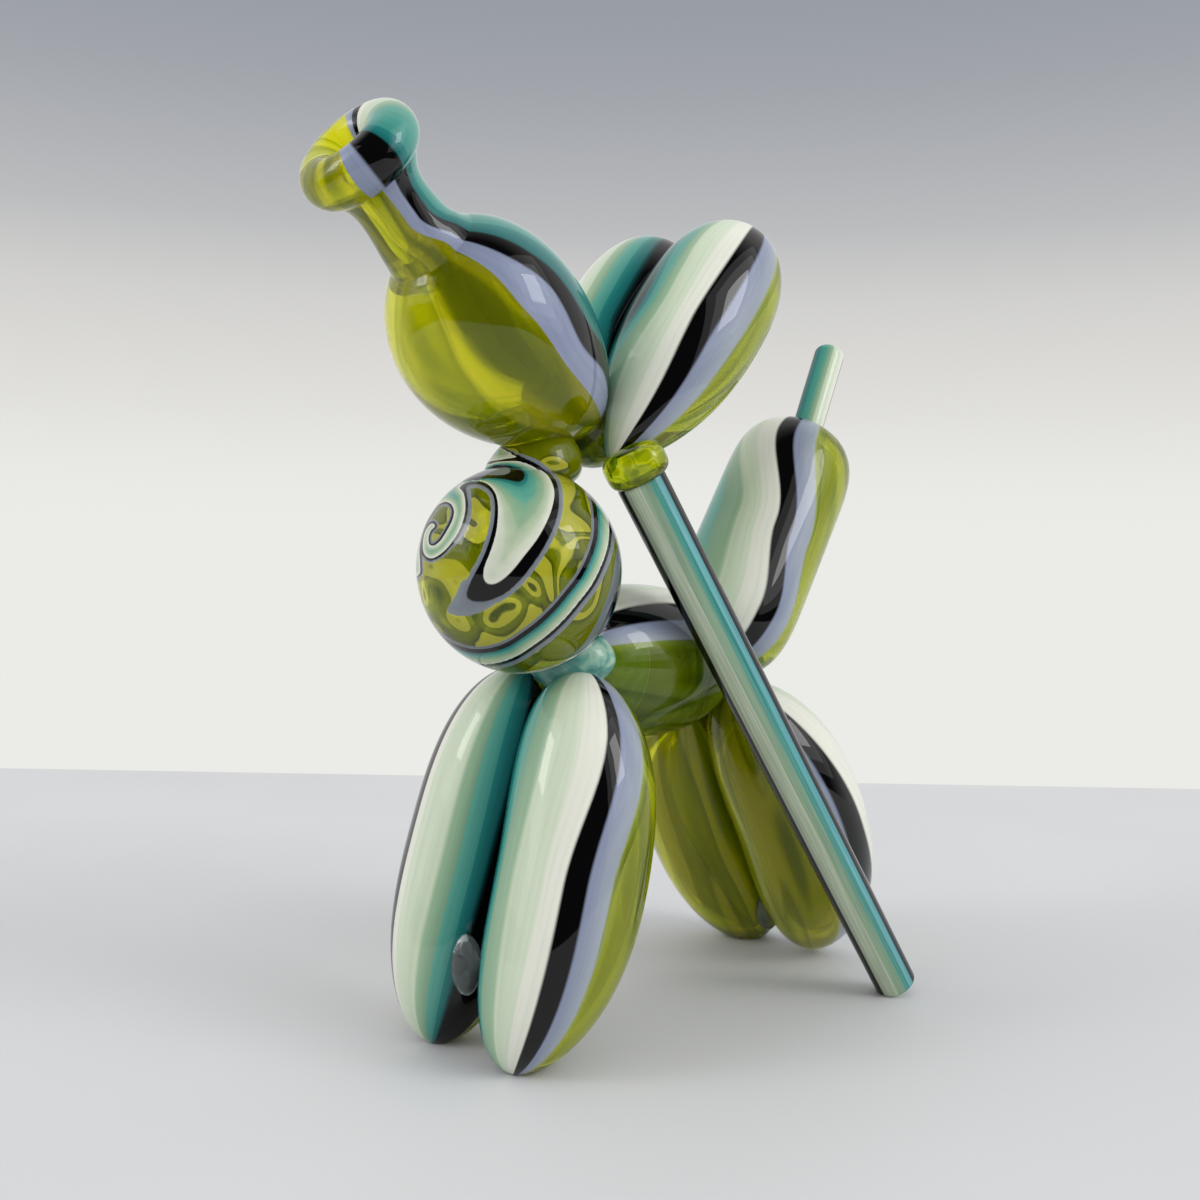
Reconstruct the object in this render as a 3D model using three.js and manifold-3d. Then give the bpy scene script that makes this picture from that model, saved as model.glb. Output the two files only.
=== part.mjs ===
// A blown-glass dog in the shape of a twisted balloon, standing on its own four feet and a slanting
// prop. Millimetres. +Z is up, the dog looks along -Y and its left side is +X. Each bulb is a hollow
// glass shell with a small bore at its twisted end, and the bulbs meet at solid glass knots.

import * as THREE from 'three';
import { mergeVertices } from 'three/addons/utils/BufferGeometryUtils.js';
import Module from 'manifold-3d';

const wasm = await Module();
wasm.setup();

// Fits
const seatGap = 0.3; // between two pieces of glass that touch
const wall = 2.2; // glass wall of a bulb
const endWall = 3.2; // at a bulb's rounded end
const twistWall = 9; // solid glass where a bulb is twisted shut
const torsoEndWall = 14; // at both ends of the torso, where its neighbours press into it
const boreRadius = 1.7; // air hole through a bulb's end
const boreReach = 2; // how far that hole runs on into the bulb's air space
const restFlat = 0.3; // how deep the polish for standing cuts into the feet and the prop

// Front legs
const frontLegLength = 70.4; // from foot to shoulder, seen from the side
const frontLegRadius = 13.5;
const frontLegLean = 16.6; // degrees back from upright
const frontFootSpread = 10.5; // from the middle plane to each foot
const frontShoulderSpread = 7.3; // from the middle plane to each leg's twisted top
const frontLegSideBow = 3.3; // how far the middle of the leg stands out from its straight axis
const frontLegBackBow = 2.4;

// Hind legs
const hindLegLength = 70.8;
const hindLegRadius = 14;
const hindLegLean = -28.8; // degrees, so these lean forward
const hindFootSpread = 8.5;
const hindHipSpread = 8.2;
const hindLegSideBow = 4.8;
const hindLegBackBow = 1.8;
const hindLeftLift = 1.9; // the left hind foot is this much higher and stands clear

// Torso
const shoulderToHip = 44.4; // along the dog, from the front legs' tops to the hind legs' tops
const torsoRadius = 15.2;
const torsoOverhang = 4; // how far each end of the torso runs past the legs' tops
const torsoFrontRise = 1.6; // the torso's axis over the front legs' tops
const torsoBackRise = 4.9; // and over the hind legs' tops

// Neck ball
const ballRadius = 18.4;
const ballHeight = 37.6;
const ballLean = -28; // degrees forward, from the shoulder to the ball's centre
const ballStandOff = 2.2; // glass of the shoulder knot under the ball

// Head
const headLength = 50.9;
const headRadius = 17.4;
const headPitch = 31; // degrees up from level
const headSag = 2.6; // how far the middle of the head hangs under the line between its ends
const headRiseOverBall = 27.4; // from the ball's centre up to the head's twisted end
const headBackOfBall = 19.5; // from the ball's centre back to the head's twisted end

// Nose
const neckRadius = 6;
const neckBoreRadius = 2.9;
const neckPitch = 42.8; // degrees up from level
const neckLength = 16.8; // from the front of the head to the middle of the lip
const neckRootDepth = 4; // how far the neck reaches into the front of the head
const neckHeadFlare = 3.4; // how much the neck widens where it leaves the head
const neckHeadFlareReach = 4.6; // and over what length
const neckLipFlare = 2.6; // how much it widens where the lip begins
const neckLipFlareReach = 3.6;
const lipPitch = 36.8; // degrees up from level
const lipRadius = 10.8; // outside of the rolled lip
const lipSectionRadius = 4.2; // half the thickness of the rolled lip

// Ears
const earLength = 61;
const earRadius = 13.2;
const earLean = 38.7; // degrees back from upright
const earRootSpread = 7.9;
const earTopSpread = 10.6;
const earRootForward = 4; // from the head's twisted end forward to the ears' twisted ends
const earRootDrop = 7.5; // and down

// Tail
const tailLength = 63.6;
const tailRadius = 13.9;
const tailLean = 33.9; // degrees back from upright
const tailRootBack = 2.4; // from the hind legs' tops back to the tail's twisted end
const tailRootRise = 3;
const tipRadius = 3.5;
const tipLength = 23; // what shows of the thin rod at the top of the tail
const tipLean = 26; // degrees back from upright
const tipSeatDepth = 4; // how far that rod reaches into the tail
const tipEdgeRadius = 2.2; // melted edge at both ends of that rod

// Prop
const propTopRadius = 4.7;
const propFootRadius = 4.2;
const propTopLeft = 13.3; // from the middle plane
const propTopBelowEars = 2.8; // under the ears' twisted ends
const propTopBack = 1.5; // behind the ears' twisted ends
const propSplay = 13.1; // degrees outward from upright, seen from the front
const propSlant = 29; // degrees back from upright, seen from the side
const propEdgeRadius = 1.2; // fire-polished edge at both ends

// Knots and welds
const headKnotRadius = 7.5;
const neckKnotRadius = 9.2; // the flat weld between the ball and the head
const neckKnotHeight = 10;
const neckKnotBack = 4; // behind the ball's centre
const neckKnotRise = 20.5; // over the ball's centre
const shoulderKnot = { width: 17, depth: 20, height: 14 };
const shoulderKnotForward = 1; // in front of the front legs' tops
const hipKnot = { width: 15, depth: 17, height: 15 };
const collarRadius = 6.6; // the weld between the prop's top and the left ear
const collarHeight = 10;
const collarShift = 2.4; // from the prop's top end up along the prop
const frontBridge = { width: 10, depth: 6, height: 11, over: 16.6, forward: 8.3 };
const hindBridge = { width: 7, depth: 6.4, height: 11.4, over: 9.6, forward: 3.6 };

// Fineness of the round shapes
const roundSteps = 20;
const innerRoundSteps = 14;
const smallRoundSteps = 16;
const boreSteps = 8;
const profileSteps = 12;
const edgeSteps = 3;

// Glass colours
const glass = (color, opacity = 1) => new THREE.MeshStandardMaterial({
  color, roughness: 0.05, metalness: 0, transparent: opacity < 1, opacity,
});
const striped = () => glass(0x9fbf9f);
const swirled = () => glass(0x8f9f60);
const lime = () => glass(0x8c9a10, 0.7);
const teal = () => glass(0x4c9a96);
const clear = () => glass(0xe4ece8, 0.4);

const radians = THREE.MathUtils.degToRad;
const point = (left, back, up) => new THREE.Vector3(left, back, up);

// Direction in the middle plane, leaning back from upright by an angle.
function leaning(degrees) {
  return point(0, Math.sin(radians(degrees)), Math.cos(radians(degrees)));
}

// Direction in the middle plane, forward and up from level by an angle.
function rising(degrees) {
  return point(0, -Math.cos(radians(degrees)), Math.sin(radians(degrees)));
}

// A three.js shape as a solid that can be joined and cut.
function solid(geometry) {
  const plain = new THREE.BufferGeometry();
  plain.setAttribute('position', geometry.getAttribute('position'));
  if (geometry.index) plain.setIndex(geometry.index);
  const merged = mergeVertices(plain, 1e-4);
  const corners = merged.getAttribute('position').array;
  const faces = merged.index.array;
  const triangles = [];
  for (let i = 0; i < faces.length; i += 3) {
    const [a, b, c] = [faces[i], faces[i + 1], faces[i + 2]];
    if (a !== b && b !== c && c !== a) triangles.push(a, b, c);
  }
  return new wasm.Manifold(new wasm.Mesh({
    numProp: 3,
    vertProperties: Float32Array.from(corners),
    triVerts: Uint32Array.from(triangles),
  }));
}

// Places a shape made along +Y so that it runs from one point towards another.
function alongAxis(geometry, from, to) {
  const turn = new THREE.Quaternion().setFromUnitVectors(
    point(0, 1, 0),
    to.clone().sub(from).normalize(),
  );
  geometry.applyQuaternion(turn);
  geometry.translate(from.x, from.y, from.z);
  return geometry;
}

// Radius of a bulb at a share of its length. A high fullness gives a straight-sided bulb with round
// ends, and a skew over 1 moves the widest place towards the far end.
function bulbRadius(share, { radius, fullness, skew }) {
  const place = Math.abs(2 * share ** skew - 1);
  return radius * Math.sqrt(Math.max(0, 1 - place ** fullness));
}

// A bulb between two points, made larger all round by grow.
function bulb(shape, grow = 0, steps = roundSteps) {
  const { from, to, bow } = shape;
  const length = from.distanceTo(to);
  const profile = [];
  for (let i = 0; i <= profileSteps; i += 1) {
    const share = 0.5 - 0.5 * Math.cos(Math.PI * i / profileSteps);
    const isPole = i === 0 || i === profileSteps;
    const radius = isPole ? 0 : bulbRadius(share, shape) + grow;
    profile.push(new THREE.Vector2(radius, share * (length + 2 * grow) - grow));
  }
  const geometry = alongAxis(new THREE.LatheGeometry(profile, steps), from, to);
  if (bow) bend(geometry, from, to, bow);
  return solid(geometry);
}

// Share of a bulb's bow at a share of its length: nothing at the ends and all of it in the middle.
function bowShare(share) {
  return 4 * share * (1 - share);
}

// Moves the middle of a bulb away from its straight axis, and leaves both ends in place.
function bend(geometry, from, to, bow) {
  const axis = to.clone().sub(from);
  const corners = geometry.getAttribute('position');
  const corner = new THREE.Vector3();
  for (let i = 0; i < corners.count; i += 1) {
    corner.fromBufferAttribute(corners, i);
    const share = corner.clone().sub(from).dot(axis) / axis.lengthSq();
    corner.addScaledVector(bow, Math.max(0, bowShare(share)));
    corners.setXYZ(i, corner.x, corner.y, corner.z);
  }
}

// The air space inside a bulb, with its bore out through one end. The shape's walls say how much
// solid glass is left at its two ends.
function hollow(shape) {
  const { from, to, radius, walls, openEnd } = shape;
  const axis = to.clone().sub(from).normalize();
  const inner = bulb({
    ...shape,
    from: from.clone().addScaledVector(axis, walls.from),
    to: to.clone().addScaledVector(axis, -walls.to),
    radius: radius - wall,
  }, 0, innerRoundSteps);
  if (!openEnd) return inner;
  const mouth = shape[openEnd];
  const inward = openEnd === 'to' ? axis.clone().negate() : axis;
  return inner.add(rod(
    mouth.clone().addScaledVector(inward, -endWall),
    mouth.clone().addScaledVector(inward, walls[openEnd] + boreReach),
    boreRadius,
    boreRadius,
    boreSteps,
  ));
}

// A round rod between two points.
function rod(from, to, fromRadius, toRadius, steps = roundSteps, grow = 0) {
  const length = from.distanceTo(to);
  const geometry = new THREE.CylinderGeometry(
    toRadius + grow,
    fromRadius + grow,
    length + 2 * grow,
    steps,
  );
  geometry.translate(0, length / 2, 0);
  return solid(alongAxis(geometry, from, to));
}

// A round rod whose two end edges are melted round.
function roundedRod(from, to, fromRadius, toRadius, edge) {
  const length = from.distanceTo(to);
  const profile = [new THREE.Vector2(0, 0)];
  for (let i = 0; i <= edgeSteps; i += 1) {
    const angle = (Math.PI / 2) * (i / edgeSteps);
    profile.push(new THREE.Vector2(
      fromRadius - edge + edge * Math.sin(angle),
      edge - edge * Math.cos(angle),
    ));
  }
  for (let i = 0; i <= edgeSteps; i += 1) {
    const angle = (Math.PI / 2) * (i / edgeSteps);
    profile.push(new THREE.Vector2(
      toRadius - edge + edge * Math.cos(angle),
      length - edge + edge * Math.sin(angle),
    ));
  }
  profile.push(new THREE.Vector2(0, length));
  return solid(alongAxis(new THREE.LatheGeometry(profile, smallRoundSteps), from, to));
}

// An egg-shaped lump of glass, made larger all round by grow.
function lump(centre, width, depth, height, grow = 0) {
  const geometry = new THREE.SphereGeometry(1, smallRoundSteps, smallRoundSteps / 2);
  geometry.rotateX(Math.PI / 2);
  geometry.scale(width / 2 + grow, depth / 2 + grow, height / 2 + grow);
  geometry.translate(centre.x, centre.y, centre.z);
  return solid(geometry);
}

const far = 400;

// Everything on one side of the middle plane, starting a distance away from it.
function sideSpace(side, distance) {
  const box = new THREE.BoxGeometry(far, far, far);
  box.translate(side * (far / 2 + distance), 0, 0);
  return solid(box);
}

// Everything under the surface that the dog stands on.
const ground = (() => {
  const box = new THREE.BoxGeometry(far, far, far);
  box.translate(0, 0, -far / 2);
  return solid(box);
})();

// Takes grown neighbours out of a piece, so that it seats against them.
function fitted(piece, neighbours) {
  return neighbours.reduce((rest, neighbour) => rest.subtract(neighbour), piece);
}

// A hollow bulb of a left and right pair, flat where the two are pressed together.
function pairedBulb(shape, side, neighbours = []) {
  const outside = bulb(shape).intersect(sideSpace(side, seatGap / 2));
  const inside = hollow(shape).intersect(sideSpace(side, seatGap / 2 + wall));
  return fitted(outside.subtract(inside), [ground, ...neighbours]);
}

// One bulb of a mirrored pair. Left is side 1 and right is side -1.
function pairShape(side, lower, upper, lowerSpread, upperSpread, sideBow, backBow, form) {
  return {
    from: lower.clone().setX(side * lowerSpread),
    to: upper.clone().setX(side * upperSpread),
    bow: point(side * sideBow, backBow, 0),
    ...form,
  };
}

// Places along the dog, from the front feet upwards
const frontFoot = point(0, 0, -restFlat);
const shoulder = frontFoot.clone().addScaledVector(leaning(frontLegLean), frontLegLength);
const ballCentre = shoulder.clone().addScaledVector(leaning(ballLean), ballHeight / 2 + ballStandOff);
const headRoot = ballCentre.clone().add(point(0, headBackOfBall, headRiseOverBall));
const headFront = headRoot.clone().addScaledVector(rising(headPitch), headLength);
const neckAxis = rising(neckPitch);
const neckRoot = headFront.clone().addScaledVector(neckAxis, -neckRootDepth);
const lipCentre = headFront.clone().addScaledVector(neckAxis, neckLength);
const neckEnd = lipCentre.clone().addScaledVector(neckAxis, -lipSectionRadius / 2);
const earRoot = headRoot.clone().add(point(0, -earRootForward, -earRootDrop));
const earTop = earRoot.clone().addScaledVector(leaning(earLean), earLength);
const hipHeight = hindLegLength * Math.cos(radians(hindLegLean));
const hip = point(0, shoulder.y + shoulderToHip, hipHeight - restFlat);
const hindFoot = hip.clone().addScaledVector(leaning(hindLegLean), -hindLegLength);
const tailRoot = hip.clone().add(point(0, tailRootBack, tailRootRise));
const tailTop = tailRoot.clone().addScaledVector(leaning(tailLean), tailLength);
const tipAxis = leaning(tipLean);
const tipRoot = tailTop.clone().addScaledVector(tipAxis, -tipSeatDepth);
const tipEnd = tailTop.clone().addScaledVector(tipAxis, tipLength);
const propTop = point(propTopLeft, earRoot.y + propTopBack, earRoot.z - propTopBelowEars);
const propAxis = point(
  -Math.tan(radians(propSplay)),
  -Math.tan(radians(propSlant)),
  1,
).normalize();
const propLean = Math.acos(propAxis.z);
const propFootHeight = (propFootRadius - propEdgeRadius) * Math.sin(propLean)
  + propEdgeRadius * (1 - Math.cos(propLean)) - restFlat;
const propFoot = propTop.clone().addScaledVector(propAxis, (propFootHeight - propTop.z) / propAxis.z);
const neckKnotCentre = ballCentre.clone().add(point(0, neckKnotBack, neckKnotRise));
const collarCentre = propTop.clone().addScaledVector(propAxis, collarShift);
const shoulderKnotCentre = shoulder.clone().add(point(0, -shoulderKnotForward, 0));
const hipKnotCentre = hip.clone().add(tailRoot).multiplyScalar(0.5);

// Bulb shapes
const legWalls = { walls: { from: endWall, to: twistWall }, openEnd: 'to' };
const frontLeg = (side) => pairShape(
  side,
  frontFoot,
  shoulder,
  frontFootSpread,
  frontShoulderSpread,
  frontLegSideBow,
  frontLegBackBow,
  { radius: frontLegRadius, fullness: 2.8, skew: 1.05, ...legWalls },
);
const hindLeg = (side) => pairShape(
  side,
  hindFoot.clone().add(point(0, 0, side > 0 ? hindLeftLift : 0)),
  hip,
  hindFootSpread,
  hindHipSpread,
  hindLegSideBow,
  hindLegBackBow,
  { radius: hindLegRadius, fullness: 2.7, skew: 1.06, ...legWalls },
);
const ear = (side) => pairShape(side, earRoot, earTop, earRootSpread, earTopSpread, 0, 0, {
  radius: earRadius,
  fullness: 2.4,
  skew: 1.42,
  walls: { from: twistWall, to: endWall },
  openEnd: 'from',
});
const torso = {
  from: shoulder.clone().add(point(0, -torsoOverhang, torsoFrontRise)),
  to: hip.clone().add(point(0, torsoOverhang, torsoBackRise)),
  radius: torsoRadius,
  fullness: 2.3,
  skew: 1,
  walls: { from: torsoEndWall, to: torsoEndWall },
  openEnd: 'to',
};
const head = {
  from: headRoot,
  to: headFront,
  bow: point(0, 0, -headSag),
  radius: headRadius,
  fullness: 2,
  skew: 1.45,
  walls: { from: twistWall, to: endWall },
  openEnd: 'to',
};
// The tip's socket opens the tail's air space, so the tail has no bore.
const tail = {
  from: tailRoot,
  to: tailTop,
  radius: tailRadius,
  fullness: 6.5,
  skew: 1.1,
  walls: { from: twistWall, to: endWall },
};
const ball = {
  from: ballCentre.clone().addScaledVector(leaning(ballLean), -ballHeight / 2),
  to: ballCentre.clone().addScaledVector(leaning(ballLean), ballHeight / 2),
  radius: ballRadius,
  fullness: 2,
  skew: 1,
  walls: { from: endWall, to: endWall },
  openEnd: 'to',
};

// The same pieces grown by the seat gap, to cut their neighbours with
const sides = [1, -1];
const ballRoom = bulb(ball, seatGap);
const headRoom = bulb(head, seatGap);
const tailRoom = bulb(tail, seatGap);
const frontLegRooms = sides.map((side) => bulb(frontLeg(side), seatGap));
const hindLegRooms = sides.map((side) => bulb(hindLeg(side), seatGap));
const earRooms = sides.map((side) => bulb(ear(side), seatGap));
const neckRoom = neckOutside(seatGap);
const tipRoom = rod(tipRoot, tipEnd, tipRadius, tipRadius, smallRoundSteps, seatGap);
const propRoom = rod(propFoot, propTop, propFootRadius, propTopRadius, smallRoundSteps, seatGap);
const headKnotRoom = knot(headRoot, headKnotRadius, seatGap);
const shoulderKnotRoom = weld(shoulderKnotCentre, shoulderKnot, seatGap);
const hipKnotRoom = weld(hipKnotCentre, hipKnot, seatGap);

function noseLip() {
  const middle = lipRadius - lipSectionRadius;
  const profile = [];
  for (let i = 0; i <= profileSteps; i += 1) {
    const angle = 2 * Math.PI * i / profileSteps;
    profile.push(new THREE.Vector2(
      middle + lipSectionRadius * Math.cos(angle),
      lipSectionRadius * Math.sin(angle),
    ));
  }
  const geometry = new THREE.LatheGeometry(profile, roundSteps);
  const ring = solid(alongAxis(geometry, lipCentre, lipCentre.clone().add(rising(lipPitch))));
  return fitted(ring, [neckRoom]);
}

// The nose tube's radius at a distance from its root.
function neckRadiusAt(along, length) {
  const fromHead = (along - neckRootDepth / 2) / neckHeadFlareReach;
  const fromLip = (length - along) / neckLipFlareReach;
  return neckRadius + neckHeadFlare * Math.exp(-fromHead * fromHead)
    + neckLipFlare * Math.exp(-fromLip * fromLip);
}

// The nose tube without its bore, made larger all round by grow.
function neckOutside(grow = 0) {
  const length = neckRoot.distanceTo(neckEnd);
  const profile = [new THREE.Vector2(0, -grow)];
  for (let i = 0; i <= profileSteps; i += 1) {
    const share = i / profileSteps;
    profile.push(new THREE.Vector2(
      neckRadiusAt(share * length, length) + grow,
      share * (length + 2 * grow) - grow,
    ));
  }
  profile.push(new THREE.Vector2(0, length + grow));
  return solid(alongAxis(new THREE.LatheGeometry(profile, roundSteps), neckRoot, neckEnd));
}

function noseNeck() {
  const past = neckAxis.clone().multiplyScalar(neckRadius);
  const tube = neckOutside();
  const bore = rod(
    neckRoot.clone().sub(past),
    neckEnd.clone().add(past),
    neckBoreRadius,
    neckBoreRadius,
    innerRoundSteps,
  );
  return fitted(tube.subtract(bore), [headRoom]);
}

// A hollow bulb that stands alone on the middle plane.
function singleBulb(shape, neighbours = []) {
  return fitted(bulb(shape).subtract(hollow(shape)), neighbours);
}

// The thin rod at the top of the tail, seated in a socket in the tail's end.
function tailTip() {
  return roundedRod(tipRoot, tipEnd, tipRadius, tipRadius, tipEdgeRadius);
}

// The slanting rod that props the dog up, from under the ears to the surface.
function prop() {
  return fitted(roundedRod(propFoot, propTop, propFootRadius, propTopRadius, propEdgeRadius), [ground]);
}

// A round knot of glass, made larger all round by grow.
function knot(centre, radius, grow = 0) {
  return lump(centre, 2 * radius, 2 * radius, 2 * radius, grow);
}

// A lump from its three sizes, made larger all round by grow.
function weld(centre, { width, depth, height }, grow = 0) {
  return lump(centre, width, depth, height, grow);
}

function neckKnot(grow = 0) {
  return lump(neckKnotCentre, 2 * neckKnotRadius, 2 * neckKnotRadius, neckKnotHeight, grow);
}

// The weld that holds the prop's top to the left ear and the head's knot.
function collar() {
  return lump(collarCentre, 2 * collarRadius, 2 * collarRadius, collarHeight);
}

// A clear weld in front of the place where a left and right leg meet, at a height over the feet.
function bridge(leg, size) {
  const share = size.over / (leg.to.z - leg.from.z);
  const middle = leg.from.clone().lerp(leg.to, share).addScaledVector(leg.bow, bowShare(share));
  return weld(point(0, middle.y - size.forward, size.over), size);
}

const pieces = [];

function addPiece(name, body, material) {
  const { numProp, vertProperties, triVerts } = body.getMesh();
  const corners = new Float32Array(vertProperties.length / numProp * 3);
  for (let i = 0; i < corners.length / 3; i += 1) {
    for (let k = 0; k < 3; k += 1) corners[3 * i + k] = vertProperties[numProp * i + k];
  }
  const geometry = new THREE.BufferGeometry();
  geometry.setAttribute('position', new THREE.BufferAttribute(corners, 3));
  geometry.setIndex(new THREE.BufferAttribute(Uint32Array.from(triVerts), 1));
  geometry.computeVertexNormals();
  const mesh = new THREE.Mesh(geometry, material);
  mesh.name = name;
  pieces.push(mesh);
}

const [frontLegLeft, frontLegRight] = sides.map(frontLeg);
const [hindLegLeft, hindLegRight] = sides.map(hindLeg);
const [earLeft, earRight] = sides.map(ear);

addPiece('nose_lip', noseLip(), striped());
addPiece('nose_neck', noseNeck(), striped());
addPiece('head_bulb', singleBulb(head), lime());
addPiece('ear_left', pairedBulb(earLeft, 1, [headRoom]), striped());
addPiece('ear_right', pairedBulb(earRight, -1, [headRoom]), striped());
addPiece('neck_ball', singleBulb(ball), swirled());
addPiece('front_leg_left', pairedBulb(frontLegLeft, 1, [ballRoom]), striped());
addPiece('front_leg_right', pairedBulb(frontLegRight, -1, [ballRoom]), striped());
addPiece('torso', singleBulb(torso, [
  ballRoom,
  tailRoom,
  propRoom,
  shoulderKnotRoom,
  hipKnotRoom,
  ...frontLegRooms,
  ...hindLegRooms,
]), lime());
addPiece('hind_leg_left', pairedBulb(hindLegLeft, 1, [propRoom]), lime());
addPiece('hind_leg_right', pairedBulb(hindLegRight, -1), lime());
addPiece('tail', singleBulb(tail, [tipRoom, ...hindLegRooms]), striped());
addPiece('tail_tip', tailTip(), striped());
addPiece('prop_cane', prop(), striped());
addPiece('head_knot', fitted(
  knot(headRoot, headKnotRadius),
  [headRoom, ballRoom, ...earRooms],
), lime());
addPiece('neck_knot', fitted(neckKnot(), [headKnotRoom, headRoom, ballRoom, ...earRooms]), clear());
addPiece('prop_collar', fitted(
  collar(),
  [propRoom, headKnotRoom, neckKnot(seatGap), headRoom, ballRoom, ...earRooms],
), lime());
addPiece('shoulder_knot', fitted(
  weld(shoulderKnotCentre, shoulderKnot),
  [ballRoom, ...frontLegRooms],
), teal());
addPiece('hip_knot', fitted(
  weld(hipKnotCentre, hipKnot),
  [tailRoom, ...hindLegRooms],
), teal());
addPiece('front_leg_bridge', fitted(bridge(frontLegLeft, frontBridge), frontLegRooms), clear());
addPiece('hind_leg_bridge', fitted(bridge(hindLegLeft, hindBridge), hindLegRooms), clear());

// The origin is under the middle of the whole dog, on the surface that it stands on.
const group = new THREE.Group();
group.add(...pieces);
const middle = new THREE.Box3().setFromObject(group).getCenter(new THREE.Vector3());
group.position.set(-middle.x, -middle.y, 0);

export default group;
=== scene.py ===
import math

import bpy
import numpy as np
from mathutils import Matrix, Vector


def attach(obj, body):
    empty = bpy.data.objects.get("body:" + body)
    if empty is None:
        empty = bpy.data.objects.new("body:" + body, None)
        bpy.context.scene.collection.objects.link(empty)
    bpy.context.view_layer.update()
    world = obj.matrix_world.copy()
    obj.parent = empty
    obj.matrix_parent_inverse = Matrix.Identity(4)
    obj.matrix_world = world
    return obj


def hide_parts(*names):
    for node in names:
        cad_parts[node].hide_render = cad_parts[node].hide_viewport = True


# A blown-glass dog in the shape of a twisted balloon. Sizes are millimetres in the dog's own
# coordinates, where its front feet stand at Y = 0, it looks along -Y and its left side is +X.

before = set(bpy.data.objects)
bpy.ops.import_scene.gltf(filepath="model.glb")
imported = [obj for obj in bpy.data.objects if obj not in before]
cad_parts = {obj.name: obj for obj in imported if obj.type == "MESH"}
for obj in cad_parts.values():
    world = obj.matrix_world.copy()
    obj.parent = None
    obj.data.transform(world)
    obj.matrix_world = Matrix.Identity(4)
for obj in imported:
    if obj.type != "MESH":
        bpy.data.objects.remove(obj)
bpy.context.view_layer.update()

ORIGIN_SHIFT = np.array([-6.808, -40.270, 0.0])
METRES = 0.001

# Glass walls and fits
WALL = 2.2
END_WALL = 3.2
TWIST_WALL = 9.0
TORSO_END_WALL = 14.0
PRESSED_GAP = 0.15  # from the middle plane to the flat of a bulb that presses on its twin
REST_FLAT = 0.3  # how deep the polish for standing cuts into the feet and the prop
SEAT_DEPTH = 0.5  # how deep a weld sinks into the bulbs that it joins

# Bulbs. Fullness 2 is round and more is squarer. A skew over 1 puts the widest place nearer the far
# end. Leans are degrees back from upright. Spreads are from the middle plane, at the lower and the
# upper end, and bows are how far a bulb's middle stands out sideways and back from its axis.
FRONT_LEG = dict(radius=13.5, fullness=2.8, skew=1.05)
FRONT_LEG_LENGTH = 70.4
FRONT_LEG_LEAN = 16.6
FRONT_LEG_SPREADS = (10.5, 7.3)
FRONT_LEG_BOWS = (3.3, 2.4)
HIND_LEG = dict(radius=14.0, fullness=2.7, skew=1.06)
HIND_LEG_LENGTH = 70.8
HIND_LEG_LEAN = -28.8
HIND_LEG_SPREADS = (8.5, 8.2)
HIND_LEG_BOWS = (4.8, 1.8)
HIND_LEFT_LIFT = 1.9  # the left hind foot is this much higher and stands clear
TORSO = dict(radius=15.2, fullness=2.3, skew=1.0)
SHOULDER_TO_HIP = 44.4
TORSO_OVERHANG = 4.0
TORSO_FRONT_RISE = 1.6
TORSO_BACK_RISE = 4.9
BALL = dict(radius=18.4, fullness=2.0, skew=1.0)
BALL_HEIGHT = 37.6
BALL_LEAN = -28.0
BALL_STAND_OFF = 2.2
HEAD = dict(radius=17.4, fullness=2.0, skew=1.45)
HEAD_LENGTH = 50.9
HEAD_PITCH = 31.0
HEAD_SAG = 2.6
HEAD_RISE_OVER_BALL = 27.4
HEAD_BACK_OF_BALL = 19.5
EAR = dict(radius=13.2, fullness=2.4, skew=1.42)
EAR_LENGTH = 61.0
EAR_LEAN = 38.7
EAR_SPREADS = (7.9, 10.6)
EAR_ROOT_FORWARD = 4.0
EAR_ROOT_DROP = 7.5
TAIL = dict(radius=13.9, fullness=6.5, skew=1.1)
TAIL_LENGTH = 63.6
TAIL_LEAN = 33.9
TAIL_ROOT_BACK = 2.4
TAIL_ROOT_RISE = 3.0

# Nose. The tube flares into the head, mostly on its top side, and into the lip
NECK_RADIUS = 6.0
NECK_BORE_RADIUS = 2.9
NECK_PITCH = 42.8
NECK_LENGTH = 16.8
NECK_BEND_LENGTH = 9.0
NECK_ROOT_DEPTH = 4.0
NECK_ROOT_FLARE = 4.8
NECK_ROOT_FLARE_REACH = 4.6
NECK_FLARE_BELOW = 0.15
NECK_LIP_FLARE = 2.6
NECK_LIP_FLARE_REACH = 3.6
LIP_PITCH = 36.8
LIP_RADIUS = 10.8
LIP_SECTION = 4.2

# The rod in the tail, and the prop
TIP_RADIUS = 3.5
TIP_LENGTH = 23.0
TIP_LEAN = 26.0
TIP_SEAT_DEPTH = 4.0
TIP_EDGE = 2.2
PROP_TOP_RADIUS = 4.7
PROP_FOOT_RADIUS = 4.2
PROP_TOP_LEFT = 13.3
PROP_TOP_BELOW_EARS = 2.8
PROP_TOP_BACK = 1.5
PROP_SPLAY = 13.1
PROP_SLANT = 29.0
PROP_EDGE = 1.2

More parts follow.
